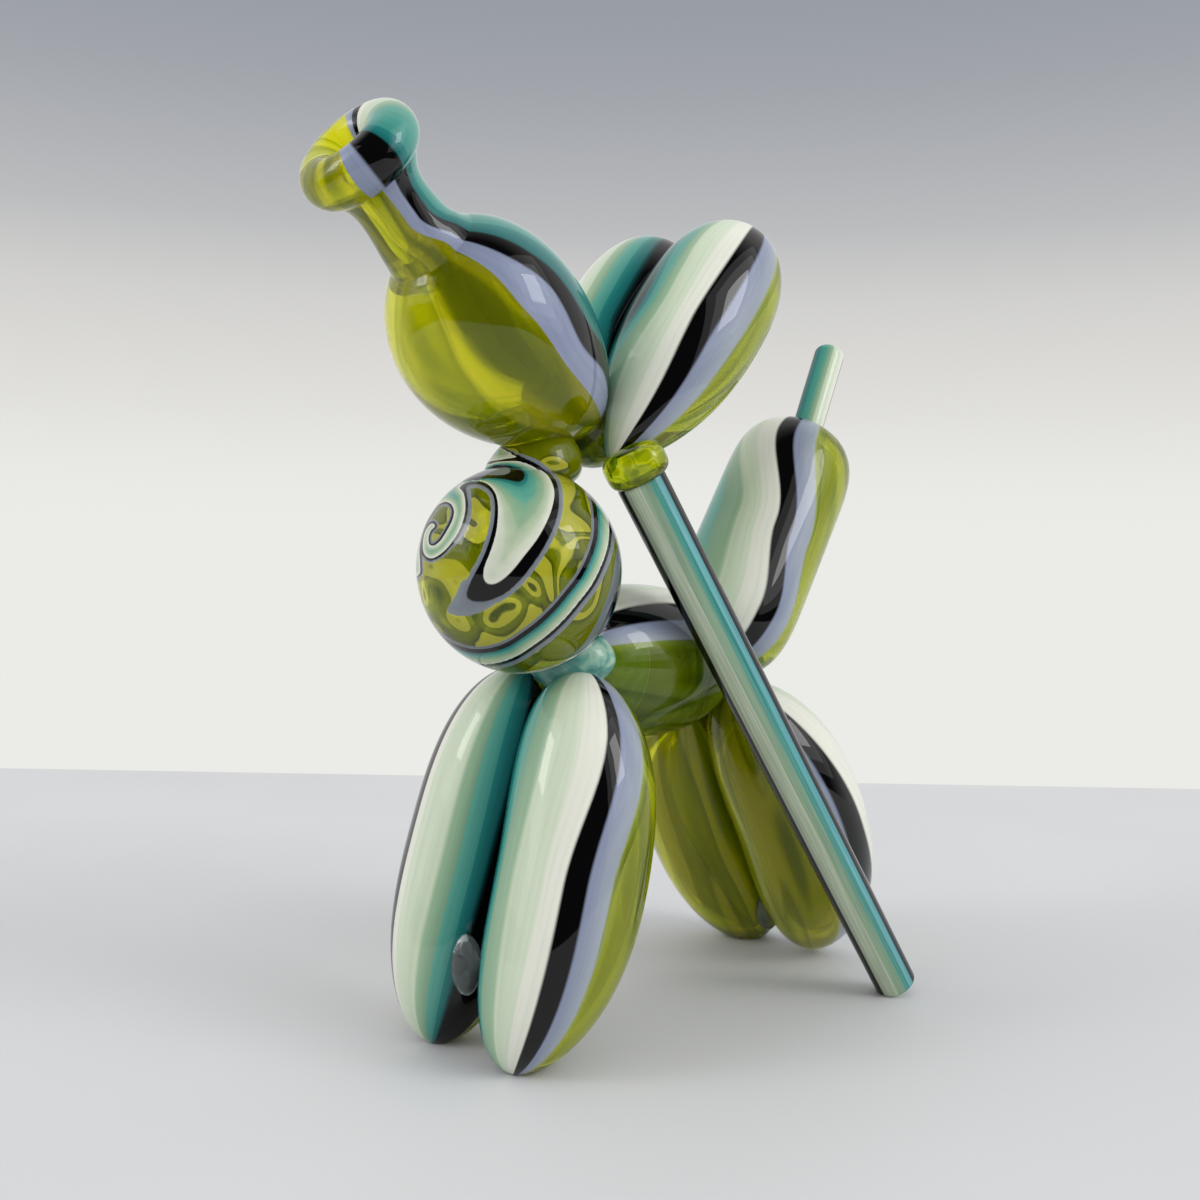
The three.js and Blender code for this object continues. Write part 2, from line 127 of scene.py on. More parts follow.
# Knots and welds: width, depth and height
HEAD_KNOT = (16.4, 16.4, 17.0)
NECK_KNOT = (16.6, 16.6, 12.0)
NECK_KNOT_FULLNESS = 0.75
NECK_KNOT_FLARE = 0.36
NECK_KNOT_LEAN = (-0.9, -0.8, 0)
NECK_KNOT_BACK = 4.0
NECK_KNOT_RISE = 20.5
SHOULDER_KNOT = (19.0, 18.0, 14.0)
SHOULDER_KNOT_SHIFT = (2.0, 2.4, 2.2)
HIP_KNOT = (15.0, 17.0, 15.0)
SLEEVE_RADIUS = 5.8
SLEEVE_HEIGHT = 7.0
SLEEVE_FULLNESS = 0.6
SLEEVE_BULGE = 0.22
SLEEVE_TO_LEFT = 0.8
COLLAR_SHIFT = 2.4
FRONT_BRIDGE = dict(size=(5.6, 5.2, 11.0), over=16.6, forward=8.3)
HIND_BRIDGE = dict(size=(6.0, 6.4, 11.4), over=9.6, forward=3.6)
RIPPLE = 0.03

# Fineness of the meshes, as rows along a piece and columns round it
BULB_GRID = (72, 144)
BULB_AIR_GRID = (40, 96)
BALL_GRID = (150, 240)
BALL_AIR_GRID = (90, 150)
WELD_GRID = (60, 96)
SLEEVE_GRID = (40, 64)
TURNED_COLUMNS = 96

# Camera, in the dog's own coordinates, with its turns in radians
CAMERA_PLACE = (167.062, -153.748, 88.0)
CAMERA_YAW = 0.73257
CAMERA_PITCH = 0.03252
CAMERA_ROLL = 0.014576
CAMERA_LENS = 39.0
CAMERA_SENSOR = 36.0

# Floor, in metres, and its two colours
FLOOR_TURN = math.radians(41.02)
FLOOR_BACK = 0.2898
FLOOR_REACH = 0.55
FLOOR_COLOURS = ((206, 207, 209), (210, 211, 213))
FLOOR_ROUGHNESS = 0.6

# The backdrop's colours by the slope of the line of sight, and the even light on the dog
BACKDROP = (
    (0.05, (235, 235, 231)),
    (0.107, (226, 225, 221)),
    (0.19, (209, 208, 206)),
    (0.242, (188, 189, 191)),
    (0.338, (157, 161, 168)),
    (0.44, (146, 151, 160)),
)
ROOM_DARK = (0.05, 0.05, 0.055, 1)
ROOM_BRIGHT = (0.80, 0.80, 0.80, 1)
WORLD_LIGHT = (0.8, 0.8, 0.8, 1)

# Two soft boxes, each brighter towards its middle. Their places are degrees round from the dog's
# front and up from level, and each light has its distance, width and height in metres and its watts.
LAMP_AIM = (0, 0, 0.08)
LAMP_PLACES = {"left": (110, 30), "front": (-30, 28)}
LAMPS = (
    ("left", "soft box", 2.20, 1.92, 2.32, 8.8),
    ("left", "inner light", 2.19, 1.28, 1.60, 5.6),
    ("left", "flash tube", 2.18, 0.60, 0.84, 7.2),
    ("front", "soft box", 2.20, 1.48, 1.80, 5.6),
    ("front", "inner light", 2.19, 1.00, 1.24, 3.6),
    ("front", "flash tube", 2.18, 0.48, 0.68, 4.8),
)

# The stripes round every tube, in the order in which they are laid, each with the colour that it
# starts with and the colour that it ends with (sRGB, 0 to 255)
BLACK = (4, 4, 5)
LAVENDER = (135, 143, 168)
GREY = (112, 118, 126)
LIME = (120, 140, 10)
STRIPES = (
    ("second lavender", LAVENDER, LAVENDER),
    ("first black", BLACK, BLACK),
    ("deep teal", (24, 100, 100), (34, 120, 116)),
    ("teal", (66, 142, 132), (92, 158, 142)),
    ("sage", (122, 158, 130), (150, 178, 148)),
    ("mint", (192, 206, 180), (208, 218, 196)),
    ("ivory", (220, 222, 208), (226, 226, 214)),
    ("second black", BLACK, BLACK),
    ("lavender", LAVENDER, (156, 164, 172)),
    ("lime", LIME, LIME),
)
PROP_STRIPES = (
    ("pale edge", (206, 210, 200), (206, 210, 200)),
    ("first black", BLACK, BLACK),
    ("sky teal", (90, 156, 164), (112, 176, 178)),
    ("teal", (66, 140, 134), (88, 154, 142)),
    ("sage", (132, 164, 138), (150, 176, 148)),
    ("mint", (190, 204, 178), (198, 210, 186)),
    ("grey sage", (172, 186, 164), (182, 192, 172)),
    ("second black", BLACK, BLACK),
    ("grey edge", (150, 158, 156), (170, 176, 170)),
    ("back teal", (60, 128, 124), (60, 128, 124)),
)
SWIRL_STRIPES = (
    ("inner lime", LIME, LIME),
    ("inner grey", GREY, GREY),
    ("inner black", BLACK, BLACK),
    ("deep teal", (30, 108, 106), (46, 128, 122)),
    ("teal", (70, 146, 136), (96, 162, 144)),
    ("sage", (116, 162, 136), (146, 174, 142)),
    ("mint", (160, 182, 150), (186, 198, 172)),
    ("ivory", (196, 204, 184), (216, 218, 204)),
    ("outer black", BLACK, BLACK),
    ("outer grey", GREY, (128, 134, 142)),
    ("outer lime", LIME, LIME),
)
STRIPE_SWAY = 0.012
ALL_LIME = 0.95  # a place in the last stripe, lime
BULB_STREAKS = 0.03  # how fast the fine streaks change along a bulb
ROD_STREAKS = 0.05

# Colours that light takes when it passes through a wall of lime glass, and how clear that glass is. The
# lime is the glass's own tint, and the lighter and darker streaks over it are painted light, standing for
# light refracted inside the glass.
LIME_DEEP = (146, 160, 0)
LIME_OLIVE = (180, 190, 0)
LIME_DARK = (212, 218, 0)
LIME_MIDDLE = (242, 240, 0)
LIME_BRIGHT = (250, 247, 48)
LIME_TINT_AND_PAINTED_STREAKS = (
    (0.30, LIME_DEEP), (0.38, LIME_OLIVE), (0.41, LIME_MIDDLE), (0.45, LIME_BRIGHT),
    (0.48, LIME_BRIGHT), (0.495, LIME_OLIVE), (0.54, LIME_DARK), (0.57, LIME_BRIGHT),
    (0.62, LIME_MIDDLE), (0.66, LIME_OLIVE),
)
LIME_CLEARNESS = 0.78
# The swirl's lime: olive bands, with bright yellow windows that are painted light shining through the
# glass
CURL_DEEP = (96, 112, 0)
CURL_OLIVE = (160, 172, 0)
CURL_PAINTED_WINDOW = (255, 252, 76)
LIME_CURLS_AND_PAINTED_WINDOWS = (
    (0.30, CURL_PAINTED_WINDOW), (0.38, CURL_PAINTED_WINDOW), (0.39, CURL_DEEP), (0.44, CURL_OLIVE),
    (0.50, CURL_OLIVE), (0.51, CURL_PAINTED_WINDOW), (0.57, CURL_PAINTED_WINDOW), (0.58, CURL_DEEP),
    (0.62, CURL_OLIVE), (0.70, CURL_OLIVE),
)
CURL_CLEARNESS = 0.66
LIME_EDGE = 0.55  # share of plain olive where the glass is seen edge on
LIME_EDGE_SHARPNESS = 3.0
# Painted shade: multipliers that darken the clear lime of some pieces, standing for shade and dark
# surroundings seen through them. The first leaves the lime as it is.
NO_PAINTED_SHADE = (1, 1, 1, 1)
LEG_PAINTED_SHADE = (0.62, 0.70, 1.0, 1)
TORSO_PAINTED_SHADE = (0.40, 0.58, 1.0, 1)
TEAL_WELD = ((50, 116, 112), (96, 152, 140), (160, 190, 168))
CLEAR_WELD = ((226, 236, 236), (212, 228, 226))
GLASS_IOR = 1.43
GLASS_ROUGHNESS = 0.02
ROUGHNESS_SPREAD = 0.03
WAVE_DEPTH = 0.0006  # in metres, of the shallow waves in glass that is shaped by hand


def unit(vector):
    return vector / np.linalg.norm(vector)


def place(left, back, up):
    return np.array([left, back, up], float)


UP = place(0, 0, 1)
FORWARD = place(0, -1, 0)


def leaning(degrees):
    """Direction in the middle plane, leaning back from upright."""
    return place(0, math.sin(math.radians(degrees)), math.cos(math.radians(degrees)))


def rising(degrees):
    """Direction in the middle plane, forward and up from level."""
    return place(0, -math.cos(math.radians(degrees)), math.sin(math.radians(degrees)))


# Places along the dog, from the front feet upwards
FRONT_FOOT = place(0, 0, -REST_FLAT)
SHOULDER = FRONT_FOOT + leaning(FRONT_LEG_LEAN) * FRONT_LEG_LENGTH
BALL_CENTRE = SHOULDER + leaning(BALL_LEAN) * (BALL_HEIGHT / 2 + BALL_STAND_OFF)
HEAD_ROOT = BALL_CENTRE + place(0, HEAD_BACK_OF_BALL, HEAD_RISE_OVER_BALL)
HEAD_FRONT = HEAD_ROOT + rising(HEAD_PITCH) * HEAD_LENGTH
NECK_AXIS = rising(NECK_PITCH)
NECK_ROOT = HEAD_FRONT - NECK_AXIS * NECK_ROOT_DEPTH
LIP_CENTRE = HEAD_FRONT + NECK_AXIS * NECK_LENGTH
NECK_END = LIP_CENTRE - NECK_AXIS * LIP_SECTION / 2
EAR_ROOT = HEAD_ROOT + place(0, -EAR_ROOT_FORWARD, -EAR_ROOT_DROP)
EAR_TOP = EAR_ROOT + leaning(EAR_LEAN) * EAR_LENGTH
HIP = place(
    0,
    SHOULDER[1] + SHOULDER_TO_HIP,
    HIND_LEG_LENGTH * leaning(HIND_LEG_LEAN)[2] - REST_FLAT,
)
HIND_FOOT = HIP - leaning(HIND_LEG_LEAN) * HIND_LEG_LENGTH
TAIL_ROOT = HIP + place(0, TAIL_ROOT_BACK, TAIL_ROOT_RISE)
TAIL_TOP = TAIL_ROOT + leaning(TAIL_LEAN) * TAIL_LENGTH
TIP_AXIS = leaning(TIP_LEAN)
TIP_ROOT = TAIL_TOP - TIP_AXIS * TIP_SEAT_DEPTH
TIP_END = TAIL_TOP + TIP_AXIS * TIP_LENGTH
PROP_TOP = place(
    PROP_TOP_LEFT,
    EAR_ROOT[1] + PROP_TOP_BACK,
    EAR_ROOT[2] - PROP_TOP_BELOW_EARS,
)
PROP_AXIS = unit(place(
    -math.tan(math.radians(PROP_SPLAY)),
    -math.tan(math.radians(PROP_SLANT)),
    1,
))
PROP_LEAN = math.acos(PROP_AXIS[2])
PROP_FOOT_HEIGHT = (
    (PROP_FOOT_RADIUS - PROP_EDGE) * math.sin(PROP_LEAN)
    + PROP_EDGE * (1 - math.cos(PROP_LEAN))
    - REST_FLAT
)
PROP_FOOT = PROP_TOP + PROP_AXIS * ((PROP_FOOT_HEIGHT - PROP_TOP[2]) / PROP_AXIS[2])


# The shape of a bulb

def bulb_shape(start, end, form, facing, walls, bow=None, side=0):
    """A bulb between two points. Angles round it are measured from the direction facing."""
    along = unit(end - start)
    across = unit(facing - along * np.dot(facing, along))
    beside = np.cross(along, across)
    wrong_way = beside[1] > 0 if side else beside[0] < 0
    return dict(
        form,
        start=start,
        end=end,
        across=across,
        beside=-beside if wrong_way else beside,
        walls=walls,
        bow=place(0, 0, 0) if bow is None else bow,
        side=side,
    )


def bulb_pair(lower, upper, spreads, bows, form, walls, left_lift=0):
    """A left and a right bulb. Angles are measured from the crease between them."""
    return {
        word: bulb_shape(
            place(side * spreads[0], lower[1], lower[2] + lift),
            place(side * spreads[1], upper[1], upper[2]),
            form,
            place(-side, 0, 0),
            walls,
            bow=place(side * bows[0], bows[1], 0),
            side=side,
        )
        for side, word, lift in ((1, "left", left_lift), (-1, "right", 0))
    }


def cross_section(shape, start, end, radius, share):
    """The middle of a bulb and how far it reaches round that, at shares of its length."""
    widest = np.abs(2 * share ** shape["skew"] - 1)
    reach = radius * np.sqrt(np.clip(1 - widest ** shape["fullness"], 0, 1))
    middle = start + (end - start) * share[..., None]
    return middle + shape["bow"] * (4 * share * (1 - share))[..., None], reach


def ways_round(angle, across, beside):
    """Directions square to an axis, at angles in turns."""
    turn = 2 * np.pi * angle
    return np.cos(turn)[..., None] * across + np.sin(turn)[..., None] * beside


def bulb_points(shape, share, angle, inset=False):
    """Points on a bulb's outside, or on the surface of its air space. Angle is in turns."""
    start, end, radius = shape["start"], shape["end"], shape["radius"]
    gap = PRESSED_GAP
    if inset:
        along = unit(end - start)
        start = start + along * shape["walls"][0]
        end = end - along * shape["walls"][1]
        radius = radius - WALL
        gap = PRESSED_GAP + WALL
    middle, reach = cross_section(shape, start, end, radius, share)
    points = middle + reach[..., None] * ways_round(angle, shape["across"], shape["beside"])
    if shape["side"]:
        points[..., 0] = shape["side"] * np.maximum(points[..., 0] * shape["side"], gap)
    points[..., 2] = np.maximum(points[..., 2], WALL if inset else 0)
    return points


def pushed_out(points, neighbours, depth):
    """Moves points that lie deep in a neighbouring bulb out to a small depth under its surface."""
    flat = points.reshape(-1, 3)
    for shape in neighbours:
        start, end = shape["start"], shape["end"]
        axis = end - start
        share = np.clip((flat - start) @ axis / np.dot(axis, axis), 0, 1)
        middle, reach = cross_section(shape, start, end, shape["radius"], share)
        reach = reach - depth
        offset = flat - middle
        distance = np.linalg.norm(offset, axis=1)
        own_side = flat[:, 0] * shape["side"] >= 0
        inside = (distance < reach) & own_side
        scale = np.where(inside, reach / np.maximum(distance, 1e-6), 1.0)
        flat = middle + offset * scale[:, None]
    return flat.reshape(points.shape)


# Meshes

def grid_part(points, stripe, grain, loop=False, along=None):
    """A closed sheet from a grid of points, which is closed round its columns. Its first and last
    rows are single points, or its last row meets its first. Each corner of a face has the stripe
    coordinate of its place in the grid, and how far along the grid it lies."""
    rows, columns = points.shape[:2]
    flat, fibres = (field.reshape(-1, 3) for field in (points, grain))
    index = np.arange(rows * columns).reshape(rows, columns)
    if not loop:
        flat, fibres = (
            np.concatenate([field[:1, 0], field[-1:, 0], field[1:-1].reshape(-1, 3)])
            for field in (points, grain)
        )
        index = index + 2 - columns
        index[0] = 0
        index[-1] = 1
    index = index.tolist()
    faces, corners = [], []
    for row in range(rows if loop else rows - 1):
        for column in range(columns):
            face = [(row, column), (row, column + 1), (row + 1, column + 1), (row + 1, column)]
            if not loop and row == 0:
                del face[1]
            elif not loop and row == rows - 2:
                del face[2]
            faces.append([index[r % rows][c % columns] for r, c in face])
            corners.extend(face)
    row, column = np.array(corners).T
    lengthwise = row / (rows - 1) if along is None else along[row % rows, column]
    uv = np.stack([stripe[row % rows, column], lengthwise], axis=1)
    return dict(points=flat, faces=faces, uv=uv, grain=fibres)


def turned_inside_out(part):
    order = []
    for face in part["faces"]:
        first = len(order)
        order.extend(range(first + len(face) - 1, first - 1, -1))
    return dict(part, faces=[face[::-1] for face in part["faces"]], uv=part["uv"][order])


def outward(part, inward=False):
    """Turns a closed part so that its faces point out, or in where it bounds an air space."""
    middle = part["points"].mean(axis=0)
    corners = np.array([face[:3] for face in part["faces"]])
    first, second, third = (part["points"][corners[:, k]] - middle for k in range(3))
    volume = np.sum(first * np.cross(second, third))
    return turned_inside_out(part) if (volume < 0) != inward else part


def add_object(name, data):
    thing = bpy.data.objects.new(name, data)
    bpy.context.scene.collection.objects.link(thing)
    return thing


def glass_object(node, parts, material):
    """One glass piece from closed parts in millimetres, standing for the CAD node."""
    points, faces, uv, grain = [], [], [], []
    for part in parts:
        first = sum(len(group) for group in points)
        points.append(part["points"])
        faces.extend([[first + i for i in face] for face in part["faces"]])
        uv.append(part["uv"])
        grain.append(part["grain"])
    placed = (np.concatenate(points) + ORIGIN_SHIFT) * METRES
    mesh = bpy.data.meshes.new("glass_" + node)
    mesh.from_pydata(placed.tolist(), [], faces)
    stripes = mesh.uv_layers.new(name="stripes")
    stripes.data.foreach_set("uv", np.concatenate(uv).astype(np.float32).ravel())
    fibres = mesh.attributes.new("grain", "FLOAT_VECTOR", "POINT")
    fibres.data.foreach_set("vector", np.concatenate(grain).astype(np.float32).ravel())
    mesh.polygons.foreach_set("use_smooth", [True] * len(mesh.polygons))
    mesh.materials.append(material)
    mesh.update()
    piece = add_object("glass_" + node, mesh)
    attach(piece, "root")
    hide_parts(node)


# Stripes round a bulb

def stripe_edges(stations, share):
    """Where the stripes start and end at a share of a bulb's length, as shares of a turn. They sway
    softly from one station to the next."""
    shares = sorted(stations)
    position = np.interp(share, shares, np.arange(len(shares)))
    station = np.floor(position)
    ease = position - station
    share = np.interp(station + ease * ease * (3 - 2 * ease), np.arange(len(shares)), shares)
    starts = np.interp(share, shares, [stations[s][0] for s in shares])
    widths = np.stack([
        np.interp(share, shares, [stations[s][1][k] / 1000 for s in shares])
        for k in range(len(STRIPES) - 1)
    ], axis=-1)
    return starts, np.cumsum(widths, axis=-1)


def stripe_places(stations, share, columns, direction):
    """The angle of each column of a bulb's grid, and its place in the order of the stripes."""
    starts, edges = stripe_edges(stations, share)
    turn = np.arange(columns + 1) / columns
    names = np.arange(len(STRIPES) + 1) / len(STRIPES)
    stripe = np.stack([
        np.interp(turn, np.concatenate([[0], row, [1]]), names)
        for row in edges
    ])
    return starts[:, None] + direction * turn[None, :], stripe


def grain_places(stripe, share, length, stretch):
    """Coordinates that follow the stripes round and slowly along a tube, for long streaks."""
    around = 2 * np.pi * stripe[:, :-1]
    along = np.broadcast_to((share * length * stretch)[:, None], around.shape)
    return np.stack([10 * np.cos(around), 10 * np.sin(around), along], axis=-1)


def even_shares(rows):
    return 0.5 - 0.5 * np.cos(np.pi * np.arange(rows + 1) / rows)


def bulb_sheet(shape, stations, direction, grid, neighbours=(), inset=False):
    rows, columns = grid
    share = even_shares(rows)
    angle, stripe = stripe_places(stations, share, columns, direction)
    points = bulb_points(shape, share[:, None] + 0 * angle[:, :-1], angle[:, :-1], inset)
    points = pushed_out(points, neighbours, -PRESSED_GAP)
    length = np.linalg.norm(shape["end"] - shape["start"])
    grain = grain_places(stripe, share, length, BULB_STREAKS)
    return outward(grid_part(points, stripe, grain), inward=inset)


def striped_bulb(name, shape, material, direction, neighbours=()):
    """A hollow bulb, from a fine outside and the surface of its air space. The direction is the way
    in which the stripes follow each other round it, and neighbours are bulbs that dent it."""
    stations = STRIPES_ROUND[name]
    outside = bulb_sheet(shape, stations, direction, BULB_GRID, neighbours)
    inside = bulb_sheet(shape, stations, direction, BULB_AIR_GRID, inset=True)
    glass_object(name, [outside, inside], material)


# Rods, the rolled lip and the nose tube

def turned_piece(name, start, along, facing, profile, material, direction, loop=False):
    """A solid rod, or a ring where the profile closes on itself. The profile holds distances along
    and radii."""
    along = unit(along)
    across = unit(facing - along * np.dot(facing, along))
    beside = np.cross(along, across)
    if beside[0] < 0:
        beside = -beside
    low, high = profile[:, 0].min(), profile[:, 0].max()
    share = (profile[:, 0] - low) / (high - low)
    angle, stripe = stripe_places(STRIPES_ROUND[name], share, TURNED_COLUMNS, direction)
    middle = start + profile[:, 0][:, None] * along
    points = middle[:, None, :] + profile[:, 1][:, None, None] * ways_round(angle[:, :-1], across, beside)
    points[..., 2] = np.maximum(points[..., 2], 0)
    grain = grain_places(stripe, share, high - low, ROD_STREAKS)
    part = outward(grid_part(points, stripe, grain, loop))
    glass_object(name, [part], material)


def rod(name, start, end, start_radius, end_radius, edge, material, direction):
    """A rod whose two end edges are melted round."""
    length = np.linalg.norm(end - start)
    bend = np.linspace(0, np.pi / 2, 9)
    first = np.stack([edge - edge * np.cos(bend), start_radius - edge + edge * np.sin(bend)], 1)
    last = np.stack([
        length - edge + edge * np.sin(bend),
        end_radius - edge + edge * np.cos(bend),
    ], 1)
    share = np.linspace(0, 1, 40)[1:-1]
    body = np.stack([
        edge + share * (length - 2 * edge),
        start_radius + share * (end_radius - start_radius),
    ], 1)
    profile = np.concatenate([[[0, 0]], first, body, last, [[length, 0]]])
    turned_piece(name, start, end - start, FORWARD, profile, material, direction)


def nose_lip(material):
    bend = 2 * np.pi * np.arange(40) / 40
    middle = LIP_RADIUS - LIP_SECTION
    profile = np.stack([LIP_SECTION * np.sin(bend), middle + LIP_SECTION * np.cos(bend)], 1)
    along = rising(LIP_PITCH)
    turned_piece("nose_lip", LIP_CENTRE, along, UP, profile, material, -1, loop=True)


def nose_tube(material, rows=44):
    """The tube from the head to the lip. It leaves the head in line with it, as a soft flare."""
    length = np.linalg.norm(NECK_END - NECK_ROOT)
    along = np.concatenate([np.linspace(0, length, rows), np.linspace(length, 0, rows)])
    from_lip = (length - along) / NECK_LIP_FLARE_REACH
    outside = NECK_RADIUS + NECK_LIP_FLARE * np.exp(-from_lip ** 2)
    root_flare = NECK_ROOT_FLARE * np.exp(-along / NECK_ROOT_FLARE_REACH)
    ease = np.clip(along / NECK_BEND_LENGTH, 0, 1)
    pitch = np.radians(HEAD_PITCH + (NECK_PITCH - HEAD_PITCH) * ease * ease * (3 - 2 * ease))
    level = np.zeros(2 * rows)
    axis = np.stack([level, -np.cos(pitch), np.sin(pitch)], axis=-1)
    upright = np.stack([level, np.sin(pitch), np.cos(pitch)], axis=-1)
    inside_head = np.clip((NECK_ROOT_DEPTH - along) / HEAD_LENGTH, 0, 1)
    sag = HEAD_SAG * 4 * inside_head * (1 - inside_head)
    middle = HEAD_FRONT + axis * (along - NECK_ROOT_DEPTH)[:, None]
    middle = middle - sag[:, None] * UP
    angle, stripe = stripe_places(STRIPES_ROUND["nose_neck"], along / length, TURNED_COLUMNS, -1)
    angle = angle[:, :-1]
    on_top = (0.5 + 0.5 * np.cos(2 * np.pi * angle)) ** 0.7
    flare = root_flare[:, None] * (NECK_FLARE_BELOW + (1 - NECK_FLARE_BELOW) * on_top)
    is_outside = (np.arange(2 * rows) < rows)[:, None]
    radius = np.where(is_outside, outside[:, None] + flare, NECK_BORE_RADIUS)
    way = ways_round(angle, upright[:, None, :], place(1, 0, 0))
    points = middle[:, None, :] + radius[..., None] * way
    grain = grain_places(stripe, along / length, length, ROD_STREAKS)
    part = outward(grid_part(points, stripe, grain, loop=True))
    glass_object("nose_neck", [part], material)


# Knots and welds

def seated(points, neighbours):
    """A weld's grid of points, sunk a little way into the bulbs that it joins."""
    points = pushed_out(points, neighbours, SEAT_DEPTH)
    points[0] = points[0].mean(axis=0)
    points[-1] = points[-1].mean(axis=0)
    return points


def all_lime(points, grain):
    """A closed part whose stripe coordinate is that of lime all over."""
    rows, columns = points.shape[:2]
    return outward(grid_part(points, np.full((rows, columns + 1), ALL_LIME), grain))


def weld_part(centre, size, neighbours, seed, fullness=1.0, flare=0.0, lean=(0, 0, 0)):
    """An uneven lump of melted glass."""
    rows, columns = WELD_GRID
    polar = np.pi * np.arange(rows + 1) / rows
    reach = np.sin(polar) ** fullness
    rise = np.sign(np.cos(polar)) * np.abs(np.cos(polar)) ** fullness
    reach = reach * (1 - flare * rise)
    turn = 2 * np.pi * (np.arange(columns) / columns)
    way = np.stack([
        reach[:, None] * np.cos(turn),
        reach[:, None] * np.sin(turn),
        rise[:, None] * np.ones(columns),
    ], axis=-1)
    ripple = 1 + RIPPLE * np.sin(3 * way[..., 0] + seed) * np.sin(4 * way[..., 2] + 2 * seed) - RIPPLE
    points = centre + way * (np.array(size) / 2) * ripple[..., None]
    points = points - rise[:, None, None] * lean
    return all_lime(seated(points, neighbours), way * 10)


def weld(name, centre, size, neighbours, material, seed):
    glass_object(name, [weld_part(centre, size, neighbours, seed)], material)


def neck_weld(neighbours, material):
    """The weld over the ball. The swirl's stripes run on over it, and it is lime on the dog's left."""
    centre = BALL_CENTRE + place(0, NECK_KNOT_BACK, NECK_KNOT_RISE)
    part = weld_part(
        centre, NECK_KNOT, neighbours, 2, NECK_KNOT_FULLNESS, NECK_KNOT_FLARE, NECK_KNOT_LEAN,
    )
    way = part["points"] - BALL_CENTRE
    right = unit(np.cross(UP, SWIRL_VIEW))
    places = np.stack([way @ right, way[:, 2]], axis=-1) / BALL["radius"]
    over, _, _ = swirl_order(places)
    body = blob_depth(places, SWIRL_BODY)
    pale = np.where(body < 0, np.interp(-body, NECK_PLACES, NECK_ORDER), over)
    over = np.where(body < 0, np.interp(-body, NECK_LIME_PLACES, NECK_LIME_ORDER), over)
    away = np.minimum(way @ SWIRL_VIEW / BALL["radius"], 0)
    past = places[:, 0] + NECK_LIME_SLANT * places[:, 1] - NECK_LIME_START
    lime = np.clip((past + NECK_LIME_LEAN_BACK * away) / NECK_LIME_FADE, 0, 1)
    stripe = (pale + (over - pale) * lime) / len(SWIRL_STRIPES)
    corners = [corner for face in part["faces"] for corner in face]
    uv = np.stack([stripe[corners], 0.5 + 0.02 * way[corners, 2]], axis=1)
    part = one_lime_end(dict(part, uv=uv, grain=way * 0.33))
    glass_object("neck_knot", [part], material)


def sleeve(neighbours, material):
    """The weld round the prop's top, square to the prop and full at its corners. It bulges away
    from the head at its top."""
    rows, columns = SLEEVE_GRID
    centre = PROP_TOP + PROP_AXIS * COLLAR_SHIFT + place(SLEEVE_TO_LEFT, 0, 0)
    side = unit(np.cross(PROP_AXIS, UP))
    front = np.cross(side, PROP_AXIS)
    polar = np.pi * np.arange(rows + 1) / rows
    turn = 2 * np.pi * np.arange(columns) / columns
    reach = SLEEVE_RADIUS * np.sin(polar) ** SLEEVE_FULLNESS
    upward = np.sign(np.cos(polar)) * np.abs(np.cos(polar)) ** SLEEVE_FULLNESS
    way = np.cos(turn)[:, None] * side + np.sin(turn)[:, None] * front
    top = (0.5 + 0.5 * np.cos(polar))[:, None]
    ripple = 1 + RIPPLE * np.sin(3 * turn)[None, :] * np.sin(polar)[:, None]
    ripple = ripple + SLEEVE_BULGE * np.clip(-way[None, :, 0], 0, 1) ** 3 * top
    points = centre + (SLEEVE_HEIGHT / 2 * upward)[:, None, None] * PROP_AXIS
    points = points + (reach[:, None] * ripple)[..., None] * way[None, :, :]
    points = seated(points, neighbours)
    part = all_lime(points, (points - centre) * 1.2)
    glass_object("prop_collar", [part], material)


# The swirled pattern of the neck ball. Its curves are drawn on a disc that looks towards the dog's
# front left, in thousandths: 0, 0 is the middle and 1000 is the rim of the ball as seen from there.
# The body is the outline of the teal and pale bands, and the hook that of the black line round them.
# The tail is a point of the grey outside that line. The finger is a black tongue in the body, and its
# core is grey. The belt and the foot are the middle lines of two more bands.

SWIRL_VIEW = unit(place(0.714, -0.70, 0.01))
SWIRL_BODY = (
    (190, 930), (260, 860), (304, 742), (301, 631), (258, 478), (167, 297), (42, 123), (-84, -31),
    (-195, -121), (-279, -132), (-323, -79), (-318, 18), (-265, 157), (-223, 297), (-205, 422),
    (-202, 561), (-223, 673), (-279, 756), (-362, 805), (-460, 812), (-543, 777), (-564, 740),
    (-522, 687), (-501, 603), (-501, 506), (-529, 394), (-585, 283), (-669, 178), (-752, 113),
    (-829, 91), (-891, 136), (-908, 227), (-898, 311), (-864, 380), (-819, 415), (-786, 387),
    (-829, 345), (-850, 276), (-836, 216), (-787, 206), (-724, 252), (-662, 345), (-617, 436),
    (-602, 520), (-634, 589), (-696, 617), (-773, 592), (-829, 520), (-884, 436), (-926, 311),
    (-947, 171), (-936, 32), (-950, -60), (-1100, -80), (-1180, 300), (-1050, 800), (-800, 1080),
    (-550, 1100), (-360, 1020), (-240, 1020), (-100, 1030), (0, 1020), (100, 985),
)
